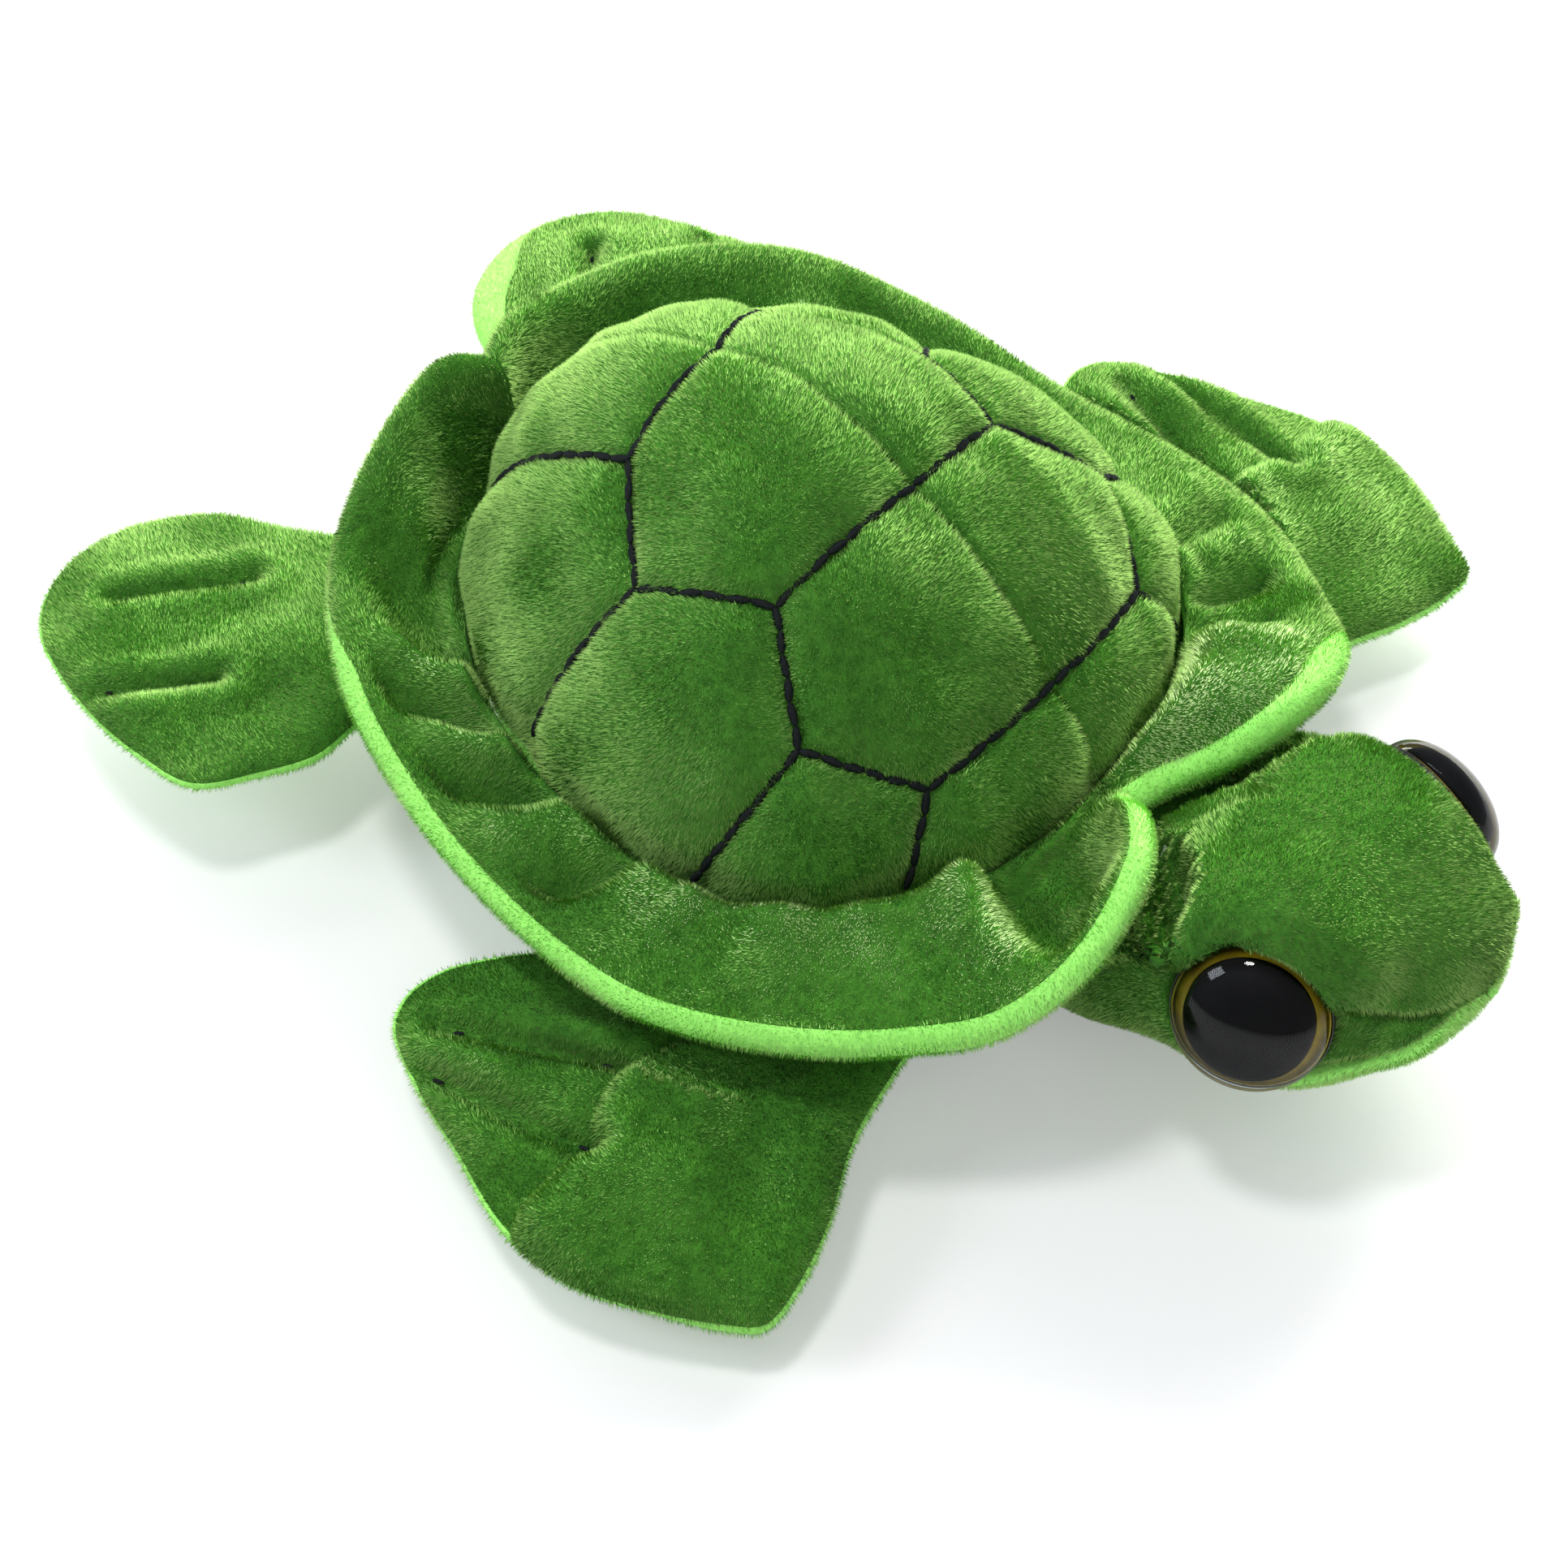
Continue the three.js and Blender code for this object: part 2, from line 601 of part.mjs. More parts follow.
function flipperSurface(flipper, side, inset, up) {
  const outline = flipperOutline(flipper, side, inset);
  const [along, across] = flipper.centreShares;
  const centre = new THREE.Vector3(along * flipper.length, side * across * flipper.length, 0);
  const [tipAlong, tipAcross] = flipper.tipShares;
  return (u, v) => {
    const share = ringShare(v);
    const point = centre.clone().lerp(outline(u), share);
    const towardsTip = (tipAlong * point.x + tipAcross * side * point.y) / flipper.length;
    const taper = THREE.MathUtils.lerp(1, flipper.thinShare, THREE.MathUtils.clamp(towardsTip, 0, 1));
    const swell = Math.sqrt(Math.max(1 - share ** flipperPower, 0));
    point.z = up * Math.max((flipper.thickness / 2) * taper - inset, 0) * swell;
    return point;
  };
}

function flipperGroup(flipper, side) {
  const group = new THREE.Group();
  const name = side > 0 ? 'left' : 'right';
  group.position.set(side * flipper.hinge.x, flipper.hinge.y, flipper.hinge.z);
  const yaw = side > 0 ? -flipper.yawDegrees : 180 + flipper.yawDegrees;
  const twist = side * flipper.twistDegrees[name];
  group.rotation.set(degrees(twist), degrees(flipper.droopDegrees[name]), degrees(yaw), 'ZYX');
  group.updateMatrixWorld();
  return group;
}

function flipperPieces(flipper, side, label, cutter) {
  const group = flipperGroup(flipper, side);
  const name = `${label}_${side > 0 ? 'left' : 'right'}`;
  const yaw = degrees(flipper.yawDegrees);
  const axis = new THREE.Vector3(Math.sin(yaw), side * Math.cos(yaw), 0);
  const home = group.position;
  const toLocal = group.matrixWorld.clone().invert();
  const swings = swingTurns(flipper.swingDegrees.down, flipper.swingDegrees.up);
  const cutters = swings.map((swing) => {
    const matrix = new THREE.Matrix4().makeTranslation(home.x, home.y, home.z);
    matrix.multiply(new THREE.Matrix4().makeRotationAxis(axis, degrees(swing)));
    matrix.multiply(new THREE.Matrix4().makeTranslation(-home.x, -home.y, -home.z));
    return cutter.transform([...toLocal.clone().multiply(matrix).elements]);
  });
  const panel = (up) => {
    const layer = (inset) => {
      const surface = flipperSurface(flipper, side, inset, up);
      return (u, v) => shift(surface(u, v), 0, 0, up * gap / 2);
    };
    return carve(walledSheet(layer(0), layer(skin), flipperTurns, flipperRings, true), cutters);
  };
  const [over, below] = [1, -1].map((up) => flipperSurface(flipper, side, stuffingInset, up));
  const form = closedGeometry([
    ...sheet(over, flipperTurns, flipperRings),
    ...sheet(below, flipperTurns, flipperRings).reverse(),
  ]);
  group.add(
    piece(`${name}_top`, panel(1), 'rim'),
    piece(`${name}_underside`, panel(-1), 'lime'),
    piece(`${name}_stuffing`, carve(form, cutters), 'stuffing'),
  );
  flipperStitches(flipper, side, name, cutters).forEach((stitch) => group.add(stitch));
  return group;
}

// Sewn lines on the hand: thread lying on the top panel.
function flipperStitches(flipper, side, name, cutters) {
  const surface = flipperSurface(flipper, side, 0, 1);
  const raised = (height) => (u, v) => shift(surface(u, v), 0, 0, gap / 2 + height);
  const layer = walledSheet(raised(gap + threadHeight), raised(gap), flipperTurns, flipperRings, true);
  const cover = toSolid(carve(layer, cutters));
  return flipper.stitchShares.map((shares, i) => {
    const [startX, startY, endX, endY] = shares.map((share) => share * flipper.length);
    const length = Math.hypot(endX - startX, endY - startY);
    const wall = new THREE.BoxGeometry(length, stitchWidth, 2 * flipper.thickness);
    const turn = new THREE.Matrix4().makeRotationZ(Math.atan2(side * (endY - startY), endX - startX));
    turn.setPosition((startX + endX) / 2, (side * (startY + endY)) / 2, flipper.thickness);
    const line = cover.intersect(boxSolid(moved(wall, turn)));
    return piece(`${name}_stitch_${i + 1}`, fromSolid(line), 'thread');
  });
}

const turtle = new THREE.Group();
const cutter = bodyCutter();
turtle.add(...shellPanels(), ...rimPieces(), piece('body_stuffing', bodyForm(stuffingInset), 'stuffing'));
turtle.add(scuteEmbroidery(), ...headPieces(cutter), eye(1, 'left'), eye(-1, 'right'));
[1, -1].forEach((side) => {
  turtle.add(flipperPieces(frontFlipper, side, 'front_flipper', cutter));
  turtle.add(flipperPieces(hindFlipper, side, 'hind_flipper', cutter));
});

export default turtle;
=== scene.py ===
# %% [markdown]
# # A stuffed sea turtle in short plush
#
# The toy is sewn from short pile fabric: green on the dome, the top of the rim, the head and the tops
# of the flippers, and lime on every underside. Black thread marks the scutes, and the eyes are domed
# safety eyes. The CAD model gives the frame: its nodes and bodies say where each piece is and how it
# moves, and this script dresses each of them.

# %% Load the frame
import json
import math

import bmesh
import bpy
import numpy as np
from mathutils import Matrix


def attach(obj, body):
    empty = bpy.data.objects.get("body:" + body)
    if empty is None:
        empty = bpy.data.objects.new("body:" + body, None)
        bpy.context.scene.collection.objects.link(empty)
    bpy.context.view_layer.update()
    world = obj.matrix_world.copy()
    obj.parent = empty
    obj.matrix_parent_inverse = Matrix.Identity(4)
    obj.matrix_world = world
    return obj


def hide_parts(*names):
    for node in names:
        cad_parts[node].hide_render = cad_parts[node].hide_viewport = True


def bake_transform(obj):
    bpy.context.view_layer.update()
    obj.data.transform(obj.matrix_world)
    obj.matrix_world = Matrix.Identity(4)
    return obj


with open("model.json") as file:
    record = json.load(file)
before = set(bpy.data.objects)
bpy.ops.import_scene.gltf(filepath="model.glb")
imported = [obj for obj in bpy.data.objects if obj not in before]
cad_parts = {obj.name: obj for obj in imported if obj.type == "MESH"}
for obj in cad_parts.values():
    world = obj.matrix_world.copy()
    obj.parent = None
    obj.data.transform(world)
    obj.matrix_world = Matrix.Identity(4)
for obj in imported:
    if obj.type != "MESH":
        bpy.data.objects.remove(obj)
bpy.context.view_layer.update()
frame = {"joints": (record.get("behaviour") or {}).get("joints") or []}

# %% [markdown]
# ## Helpers
#
# Every surface is a grid of points worked out with numpy, in millimetres like the pattern of the
# toy, and turned into metres only when its mesh is made.

# %% Numbers
MM = 0.001
SKIN = 0.9  # the backing lies this far inside the CAD's surface, and the pile fills the rest
CLOTH = 1.0  # how thick the backing is
PILE = 1.1  # how long the fibres are
FIBRE_WIDTH, ROOT_DEPTH, KNIT_ROW, FRIZZ = 0.18, 0.25, 1.15, 0.13
SIDES = {"left": 1, "right": -1}


def lerp(a, b, t):
    """a at t 0 and b at t 1, straight in between."""
    return a + (b - a) * t


def step_up(x):
    """0 below 0, 1 above 1, and three x squared less two x cubed in between."""
    x = np.clip(x, 0, 1)
    return x * x * (3 - 2 * x)


def bump(x):
    """A bell: e to the power of minus x squared."""
    return np.exp(-x * x)


def unit(v):
    """Vectors divided by their own length."""
    return v / np.maximum(np.linalg.norm(v, axis=-1, keepdims=True), 1e-9)


def waves(points, size, seed, count=14):
    """A soft random field: the sum of count sine waves with random directions and phases and crests
    about size mm apart, divided by the root of half their number, so it mostly stays within 2."""
    rng = np.random.default_rng(seed)
    way = unit(rng.normal(size=(count, 3))) * rng.uniform(0.6, 1.6, (count, 1)) * 2 * np.pi / size
    return np.sin(points @ way.T + rng.uniform(0, 2 * np.pi, count)).sum(-1) / math.sqrt(count / 2)


def smooth_row(table, key):
    """The table's columns at key, by a cubic through its rows whose slope at a row is that between
    the rows before and after it."""
    table = np.asarray(table, float)
    at, rows = table[:, 0], table[:, 1:]
    last = len(at) - 1
    i = np.clip(np.searchsorted(at, key, side="right") - 1, 0, last - 1)
    before, after = np.clip(np.arange(last + 1) - 1, 0, last), np.clip(np.arange(last + 1) + 1, 0, last)
    slope = (rows[after] - rows[before]) / (at[after] - at[before])[:, None]
    span = (at[i + 1] - at[i])[..., None]
    t = (np.asarray(key)[..., None] - at[i][..., None]) / span
    a, b, da, db = rows[i], rows[i + 1], slope[i] * span, slope[i + 1] * span
    return a + t * da + t**2 * (3 * (b - a) - 2 * da - db) + t**3 * (2 * (a - b) + da + db)


# %% Meshes
def new_piece(name, points, faces, materials, index=None, weld=False):
    """An object from points in mm and faces of one size. weld joins points that share a place."""
    mesh = bpy.data.meshes.new(name)
    points = np.asarray(points, float).reshape(-1, 3) * MM
    mesh.vertices.add(len(points))
    mesh.vertices.foreach_set("co", points.astype(np.float32).ravel())
    mesh.loops.add(faces.size)
    mesh.loops.foreach_set("vertex_index", faces.astype(np.int32).ravel())
    mesh.polygons.add(len(faces))
    mesh.polygons.foreach_set("loop_start", np.arange(0, faces.size, faces.shape[1], dtype=np.int32))
    mesh.polygons.foreach_set("use_smooth", np.ones(len(faces), bool))
    for material in materials:
        mesh.materials.append(material)
    if index is not None:
        mesh.polygons.foreach_set("material_index", index.astype(np.int32))
    mesh.update(calc_edges=True)
    if weld:
        bm = bmesh.new()
        bm.from_mesh(mesh)
        bmesh.ops.remove_doubles(bm, verts=bm.verts, dist=2e-6)
        bmesh.ops.recalc_face_normals(bm, faces=bm.faces)
        bm.to_mesh(mesh)
        bm.free()
    mesh.validate()
    thing = bpy.data.objects.new(name, mesh)
    bpy.context.scene.collection.objects.link(thing)
    return thing


def grid_faces(rows, columns, ring=False):
    """Quads between the points of a grid, numbered row by row. ring joins the last column to the first."""
    i, j = np.meshgrid(np.arange(rows - 1), np.arange(columns if ring else columns - 1), indexing="ij")
    k = (j + 1) % columns
    quads = [i * columns + j, i * columns + k, (i + 1) * columns + k, (i + 1) * columns + j]
    return np.stack(quads, -1).reshape(-1, 4)


def grid_normals(grid, ring=False):
    """Unit normals of a grid of points: the cross product of its steps along rows and columns. A row
    that is all one point takes the mean of the next row."""
    across = np.roll(grid, -1, 1) - np.roll(grid, 1, 1) if ring else np.gradient(grid, axis=1)
    normals = unit(np.cross(across, np.gradient(grid, axis=0)))
    for row, inner in ((0, 1), (-1, -2)):
        if np.ptp(grid[row], axis=0).max() < 1e-3:
            normals[row] = unit(normals[inner].mean(0))
    return normals


def outward(grid, way, ring=False):
    """grid_normals, all turned round where their sum looks against way, which is one direction or one
    for each point."""
    normals = grid_normals(grid, ring)
    return normals if (normals * way).sum() > 0 else -normals


def walled(outer, normals, thickness, keep=None, ring=False):
    """A closed wall: the outer grid, the same grid moved in along its normals by thickness, and
    strips that join them round every open edge. keep says which quads of the grid stay."""
    rows, columns = outer.shape[:2]
    quads = grid_faces(rows, columns, ring)
    if keep is not None:
        quads = quads[keep.ravel()]
    edges = np.concatenate([quads[:, [k, (k + 1) % 4]] for k in range(4)])
    key = np.sort(edges, 1) @ np.array([rows * columns, 1])
    _, first, count = np.unique(key, return_index=True, return_counts=True)
    rim = edges[first[count == 1]]
    size = rows * columns
    strip = np.stack([rim[:, 0], rim[:, 0] + size, rim[:, 1] + size, rim[:, 1]], -1)
    points = np.concatenate([outer.reshape(-1, 3), (outer - thickness * normals).reshape(-1, 3)])
    faces = np.concatenate([quads, quads[:, ::-1] + size, strip])
    used, faces = np.unique(faces, return_inverse=True)
    return points[used], faces.reshape(-1, 4)


# %% [markdown]
# ## Pile
#
# The fabric is a knitted backing with short, dense fibres that lean the way they were last stroked.
# A fibre here is one slim blade, rooted in the backing and bent over by a comb direction plus some
# chance, in one of a few shades of the dye. Real fibres are thinner still and far more, so a blade
# stands for a small lock of them. Its normals are those of the fabric, tipped the way the lock
# leans, with some chance, because a lock's round end looks that way. So pile shows which way it was
# stroked, as on the toy.

# %% Pile maker
def pile(name, grid, normals, comb, per_mm2, materials, seed, keep, ribs, painted_light, ring):
    """Fibres over a grid. A quad gets its area times per_mm2 of them, rounded up or down by chance,
    at random places. The tip is about PILE away along normal plus comb plus chance, and the root is
    FIBRE_WIDTH wide, ROOT_DEPTH below the skin. The blade's front is the side that looks outwards.
    The knit's rows, KNIT_ROW apart along ribs, make fibres between them up to a fifth shorter and
    half a shade deeper: painted shade in the furrows. Soft random fields, chance and painted_light,
    the painted light and shade, in shades, choose the fibre's shade: 0 is the deepest."""
    rng = np.random.default_rng(seed)
    rows, columns = grid.shape[:2]
    quads = grid_faces(rows, columns, ring)
    if keep is not None:
        quads = quads[keep.ravel()]
    corners = grid.reshape(-1, 3)[quads]
    area = np.linalg.norm(np.cross(corners[:, 2] - corners[:, 0], corners[:, 3] - corners[:, 1]), axis=1) / 2
    count = np.floor(area * per_mm2 + rng.random(len(quads))).astype(int)
    quads = np.repeat(quads, count, 0)
    u, v = rng.random((2, len(quads), 1))
    shares = np.concatenate([(1 - u) * (1 - v), u * (1 - v), u * v, (1 - u) * v], 1)[..., None]
    fields = (grid, normals, comb, np.broadcast_to(painted_light[..., None], grid.shape))
    root, normal, lean, painted_at_root = ((field.reshape(-1, 3)[quads] * shares).sum(1) for field in fields)
    normal = unit(normal)
    way = unit(normal + lean + FRIZZ * rng.normal(size=root.shape))
    phase = 2 * np.pi * (root @ np.asarray(ribs, float)) / KNIT_ROW
    row = 0.5 + 0.5 * np.cos(phase + 0.8 * waves(root, 20, 5))
    tip = root + way * PILE * (0.8 + 0.2 * row[:, None]) * rng.uniform(0.8, 1.1, (len(root), 1))
    side = FIBRE_WIDTH / 2 * unit(np.cross(way, rng.normal(size=root.shape)))
    side = side * np.where((np.cross(side, way) * normal).sum(-1, keepdims=True) > 0, 1, -1)
    start = root - ROOT_DEPTH * normal
    points = np.stack([start - side, start + side, tip], 1)
    points[..., 2] = np.maximum(points[..., 2], 0.1)
    patches = 0.45 * waves(root, 14, seed + 1) + 0.15 * waves(root, 4, seed + 2)
    # painted_at_root adds the painted light and painted shade; the patches and chance are the fabric's random
    # tone.
    shade = 1.45 + painted_at_root[:, 0] + 0.5 * row + patches
    shade = np.clip(np.round(shade + 0.6 * rng.normal(size=len(root))), 0, len(materials) - 1)
    thing = new_piece(name, points, np.arange(3 * len(root)).reshape(-1, 3), materials, shade)
    soft = unit(normal + 0.7 * lean + 0.12 * rng.normal(size=root.shape))
    thing.data.normals_split_custom_set_from_vertices(np.repeat(soft, 3, 0))
    print(f"{name}: {len(root)} fibres")
    return thing


# %% [markdown]
# ## Materials
#
# Plush scatters light, and it glows where its fibres are seen side on. So the fibres are rough with a
# broad, greenish sheen, in plain shades from deep to pale, which also serve as painted light and painted
# shade. The backing shows only between them, and it is a mottle of the two deepest shades with no
# sheen: painted shade for the depth between the fibres.

# %% Material makers
def linear(colour):
    """An sRGB colour of 0 to 255 as linear light, by the sRGB curve."""
    share = np.asarray(colour, float) / 255
    low, high = share / 12.92, ((share + 0.055) / 1.055) ** 2.4
    return (*np.where(share <= 0.04045, low, high), 1.0)


def material(name, colour, roughness, sheen=0.0, sheen_colour=(255, 255, 255)):
    """A new node material: a Principled shader with its plain values set."""
    made = bpy.data.materials.new(name)
    made.use_nodes = True
    made.diffuse_color = linear(colour)
    shader = made.node_tree.nodes["Principled BSDF"]
    shader.inputs["Base Color"].default_value = linear(colour)
    shader.inputs["Roughness"].default_value = roughness
    shader.inputs["Sheen Weight"].default_value = sheen
    shader.inputs["Sheen Roughness"].default_value = 0.7
    shader.inputs["Sheen Tint"].default_value = linear(sheen_colour)
    return made


def mottle(made, dark, light, size, bump_mm=0.0):
    """Noise over the object's own coordinates mixes the dark and light colours, in patches of about
    size mm, and lifts the surface by bump_mm."""
    nodes, links = made.node_tree.nodes, made.node_tree.links
    shader, place = nodes["Principled BSDF"], nodes.new("ShaderNodeTexCoord")
    noise, ramp = nodes.new("ShaderNodeTexNoise"), nodes.new("ShaderNodeValToRGB")
    noise.inputs["Scale"].default_value = 1 / (size * MM)
    noise.inputs["Detail"].default_value = 4
    for element, position, colour in zip(ramp.color_ramp.elements, (0.32, 0.68), (dark, light)):
        element.position, element.color = position, linear(colour)
    links.new(place.outputs["Object"], noise.inputs["Vector"])
    links.new(noise.outputs["Fac"], ramp.inputs["Fac"])
    links.new(ramp.outputs["Color"], shader.inputs["Base Color"])
    if bump_mm:
        relief = nodes.new("ShaderNodeBump")
        relief.inputs["Distance"].default_value = bump_mm * MM
        links.new(noise.outputs["Fac"], relief.inputs["Height"])
        links.new(relief.outputs["Normal"], shader.inputs["Normal"])
    return made


def dull(made, level):
    """The same material with its mirror-like part set to level, where 0.5 is that of plastic."""
    made.node_tree.nodes["Principled BSDF"].inputs["Specular IOR Level"].default_value = level
    return made


def plain_nodes(name, *kinds):
    """A new material of only an output and shader nodes of these kinds: itself, its links and nodes."""
    made = bpy.data.materials.new(name)
    made.use_nodes = True
    tree = made.node_tree
    tree.nodes.clear()
    return made, tree.links, *(tree.nodes.new(f"ShaderNode{kind}") for kind in ("OutputMaterial", *kinds))


# %% Fabrics
# Shades of each fabric from deep to pale. Their spread gives random tone and also the painted light and
# painted shade; the sixth green, the palest, shows only where the painted light is strongest.
DYES_AND_PAINTED_SHADES = {
    "shell_plush": [(40, 94, 14), (60, 118, 28), (80, 142, 40), (112, 170, 70), (152, 206, 108)],
    "green_plush": [(38, 92, 12), (58, 116, 26), (78, 142, 38), (112, 170, 68), (154, 208, 108),
                    (216, 246, 172)],
    "lime_plush": [(142, 218, 98), (152, 226, 106), (160, 234, 116), (168, 240, 126), (178, 246, 138)],
}
SHEEN, SHEEN_COLOUR = 0.8, (204, 250, 140)
backing, fibres = {}, {}
for slot, dyes_and_painted_shades in DYES_AND_PAINTED_SHADES.items():
    # The backing takes the two deepest shades: painted shade between the fibres.
    backing[slot] = mottle(material(f"{slot}_backing", dyes_and_painted_shades[0], 1.0), dyes_and_painted_shades[0], dyes_and_painted_shades[1], 2.2, 0.4)
    fibres[slot] = [
        material(f"{slot}_fibre_{k + 1}", fibre_shade, 0.9, SHEEN, SHEEN_COLOUR) for k, fibre_shade in enumerate(dyes_and_painted_shades)
    ]
stuffing = material("stuffing_fibre", (240, 239, 233), 1.0, 0.3)
fill = mottle(stuffing, (222, 220, 212), (248, 247, 243), 4, 0.8)
thread = dull(mottle(material("black_thread", (8, 12, 13), 0.75), (4, 6, 7), (16, 22, 24), 0.5, 0.1), 0.2)
print({slot: len(made) for slot, made in fibres.items()}, "shades")

# %% [markdown]
# ## Dressing
#
# Each panel of the toy is cut from the fabric and sewn in, backing and pile together. Here a panel is
# two pieces, a closed backing and its pile, that follow the same body. Where cloth bridges two bodies
# it stays where it is made and follows neither.

# %% Panels of fabric
dressed = []


def dress(thing, body, node=None, between=None):
    """Hides the CAD part named node, if any, puts the piece under its body or, where it bridges two bodies,
    keeps it in place under neither, and lists it among the dressed pieces.
    """
    if node is not None:
        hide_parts(node)
    if between:
        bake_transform(thing)
    else:
        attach(thing, body)
    dressed.append(thing)


def fabric(name, grid, way, slot, body, node, comb, seed, per_mm2=12.0, keep=None, ring=False,
           between=None, fibre_keep=None, ribs=(0, 1, 0), painted_light=0.0):
    """A panel of plush: its backing as a closed wall, and its pile as a piece that goes with it. Its
    outer side looks along way, and keep and fibre_keep say which quads have backing and pile."""
    fibre_keep = keep if fibre_keep is None else fibre_keep
    # painted_light: painted light and painted shade on the pile, in shades.
    painted_light = np.broadcast_to(painted_light, grid.shape[:2])
    if (grid_normals(grid, ring) * way).sum() < 0:
        grid, comb, painted_light = grid[::-1], comb[::-1], painted_light[::-1]
        keep, fibre_keep = (None if mask is None else mask[::-1] for mask in (keep, fibre_keep))
    normals = grid_normals(grid, ring)
    wall = walled(grid, normals, CLOTH, keep, ring)
    skin = new_piece(f"{name}_skin", *wall, [backing[slot]], weld=True)
    lean = comb - (comb * normals).sum(-1, keepdims=True) * normals
    fur = pile(f"{name}_pile", grid, normals, lean, per_mm2, fibres[slot], seed, fibre_keep, ribs, painted_light, ring)
    dress(skin, body, node, between)
    dress(fur, body, between=between)


# %% [markdown]
# ## Sizes of the body
#
# The same numbers and formulas as the CAD source: a dome and a belly on one egg-shaped seam line.

# %% Body formulas
SHELL_LENGTH, SHELL_WIDTH, DOME, SEAM, BELLY = 125.3, 117.4, 53, 33, 33.5
FRONT_Y = -SHELL_LENGTH / 2
FRONT, REAR = 0.306 * SHELL_LENGTH, 0.694 * SHELL_LENGTH
WIDEST_Y = FRONT_Y + FRONT
CROWN_LEAN, BELLY_LEAN = 0.196 * SHELL_LENGTH, 0.16 * SHELL_LENGTH
print("widest at y", round(WIDEST_Y, 1), "mm, and", DOME + SEAM, "mm high")


def dome_at(across, along, inset=0.0):
    """Points of the dome. across and along are shares of the half width and of the front or rear
    length; inside is 1 less their squares, the height goes with inside to the power 0.71, and the
    point leans back by the crown's lean times inside."""
    inside = np.maximum(1 - across**2 - along**2, 0)
    reach = np.where(along < 0, FRONT, REAR) - inset
    x = across * (SHELL_WIDTH / 2 - inset)
    y = WIDEST_Y + CROWN_LEAN * inside + along * reach
    return np.stack([x, y, SEAM + (DOME - inset) * inside**0.71], -1)


def belly_at(across, along, inset=0.0):
    """Points of the belly: like the dome, but hanging down by the root of 1 less the fourth power of
    the share from the middle, and cut flat where it rests."""
    square = np.minimum(across**2 + along**2, 1)
    reach = np.where(along < 0, FRONT, REAR) - inset
    x = across * (SHELL_WIDTH / 2 - inset)
    y = WIDEST_Y + BELLY_LEAN * (1 - square) + along * reach
    z = np.maximum(SEAM - (BELLY - inset) * np.sqrt(1 - square**2), inset)
    return np.stack([x, y, z], -1)


def polar(angle, share):
    """across and along for an angle from the front and a share of the way out."""
    return np.sin(angle) * share, -np.cos(angle) * share


def dome_under(x, y):
    """across and along of the dome's point over a place in plan: along solves the quadratic that the
    lean makes of it, on the rear half first, then on the front one."""
    across = x / (SHELL_WIDTH / 2)
    rest = CROWN_LEAN * (1 - across**2) + WIDEST_Y - y
    answers = [
        (reach - np.sqrt(np.maximum(reach**2 + 4 * CROWN_LEAN * rest, 0))) / (2 * CROWN_LEAN)
        for reach in (REAR, FRONT)
    ]
    return across, np.where(answers[0] >= 0, answers[0], answers[1])


# %% [markdown]
# ## Scute lines
#
# The machine-embroidered lines pull the plush down into grooves, and the stuffing puffs it up
# between them. The lines run like tight threads between corners measured on the toy, which lie a
# little differently on its two sides.

# %% Scute lines over the dome
CORNERS = {
    "spineRear": (0, 0.2), "spineMiddle": (0, -0.49), "spineFront": (0, -0.89),
    "hexRear": (0.41, 0.24), "hexSide": (0.66, 0.15), "hexMiddle": (0.53, -0.31),
    "frontSide": (0.71, -0.44), "hexFront": (0.5, -0.77),
    "rearBase": (0.3, 0.93), "sideRearBase": (0.88, 0.46), "sideFrontBase": (1, 0),
    "frontBase": (0.66, -0.75),
}
LEFT_CORNERS = {**CORNERS, "hexRear": (0.36, 0.34), "hexSide": (0.44, -0.06), "hexMiddle": (0.4, -0.4)}
LINES = [
    ("spineRear", "hexRear"), ("hexRear", "rearBase"), ("hexRear", "hexSide"), ("hexSide", "sideRearBase"),
    ("hexSide", "hexMiddle"), ("hexMiddle", "spineMiddle"), ("hexMiddle", "frontSide"),
    ("frontSide", "sideFrontBase"), ("frontSide", "hexFront"), ("hexFront", "spineFront"),
    ("hexFront", "frontBase"),
]
DOME_CORE = np.array([0.0, WIDEST_Y + 14, 22.0])


def over_dome(ways):
    """Where rays from the dome's core meet it: the span that holds the place is halved 40 times, by
    whether its middle is inside the dome."""
    near, far = np.zeros(len(ways)), np.full(len(ways), 120.0)
    for _ in range(40):
        middle = (near + far) / 2
        x, y, z = (DOME_CORE + middle[:, None] * ways).T
        inside = np.clip((z - SEAM) / DOME, 0, 1) ** (1 / 0.71)
        along = y - WIDEST_Y - CROWN_LEAN * inside
        own = np.hypot(x / (SHELL_WIDTH / 2), along / np.where(along < 0, FRONT, REAR))
        within = (own < np.sqrt(1 - inside)) & (z < SEAM + DOME)
        near, far = np.where(within, middle, near), np.where(within, far, middle)
    return DOME_CORE + near[:, None] * ways


def scute_path(start, end, side, steps=60):
    """The line between two corners that a tight thread would take, as points on the dome: the cut of
    a plane through both corners and the dome's core."""
    corners = CORNERS if side < 0 else LEFT_CORNERS
    ends = [dome_at(np.array(side * a), np.array(b)) for a, b in (corners[start], corners[end])]
    chord = lerp(ends[0], ends[1], np.linspace(0, 1, steps)[:, None])
    return over_dome(unit(chord - DOME_CORE))


paths = [scute_path(a, b, side) for side in (1, -1) for a, b in LINES]
turn = np.linspace(0, 1, 200)
spine = np.concatenate([dome_at(0 * turn, -turn[::-1]), dome_at(0 * turn, turn)])


print(len(paths), "scute lines")


def distance_to(points, line):
    """The distance of each point from the nearest point of a line."""
    parts = np.array_split(points.reshape(-1, 3), 40)
    found = [np.linalg.norm(part[:, None] - line[None], axis=-1).min(1) for part in parts]
    return np.concatenate(found).reshape(points.shape[:-1])


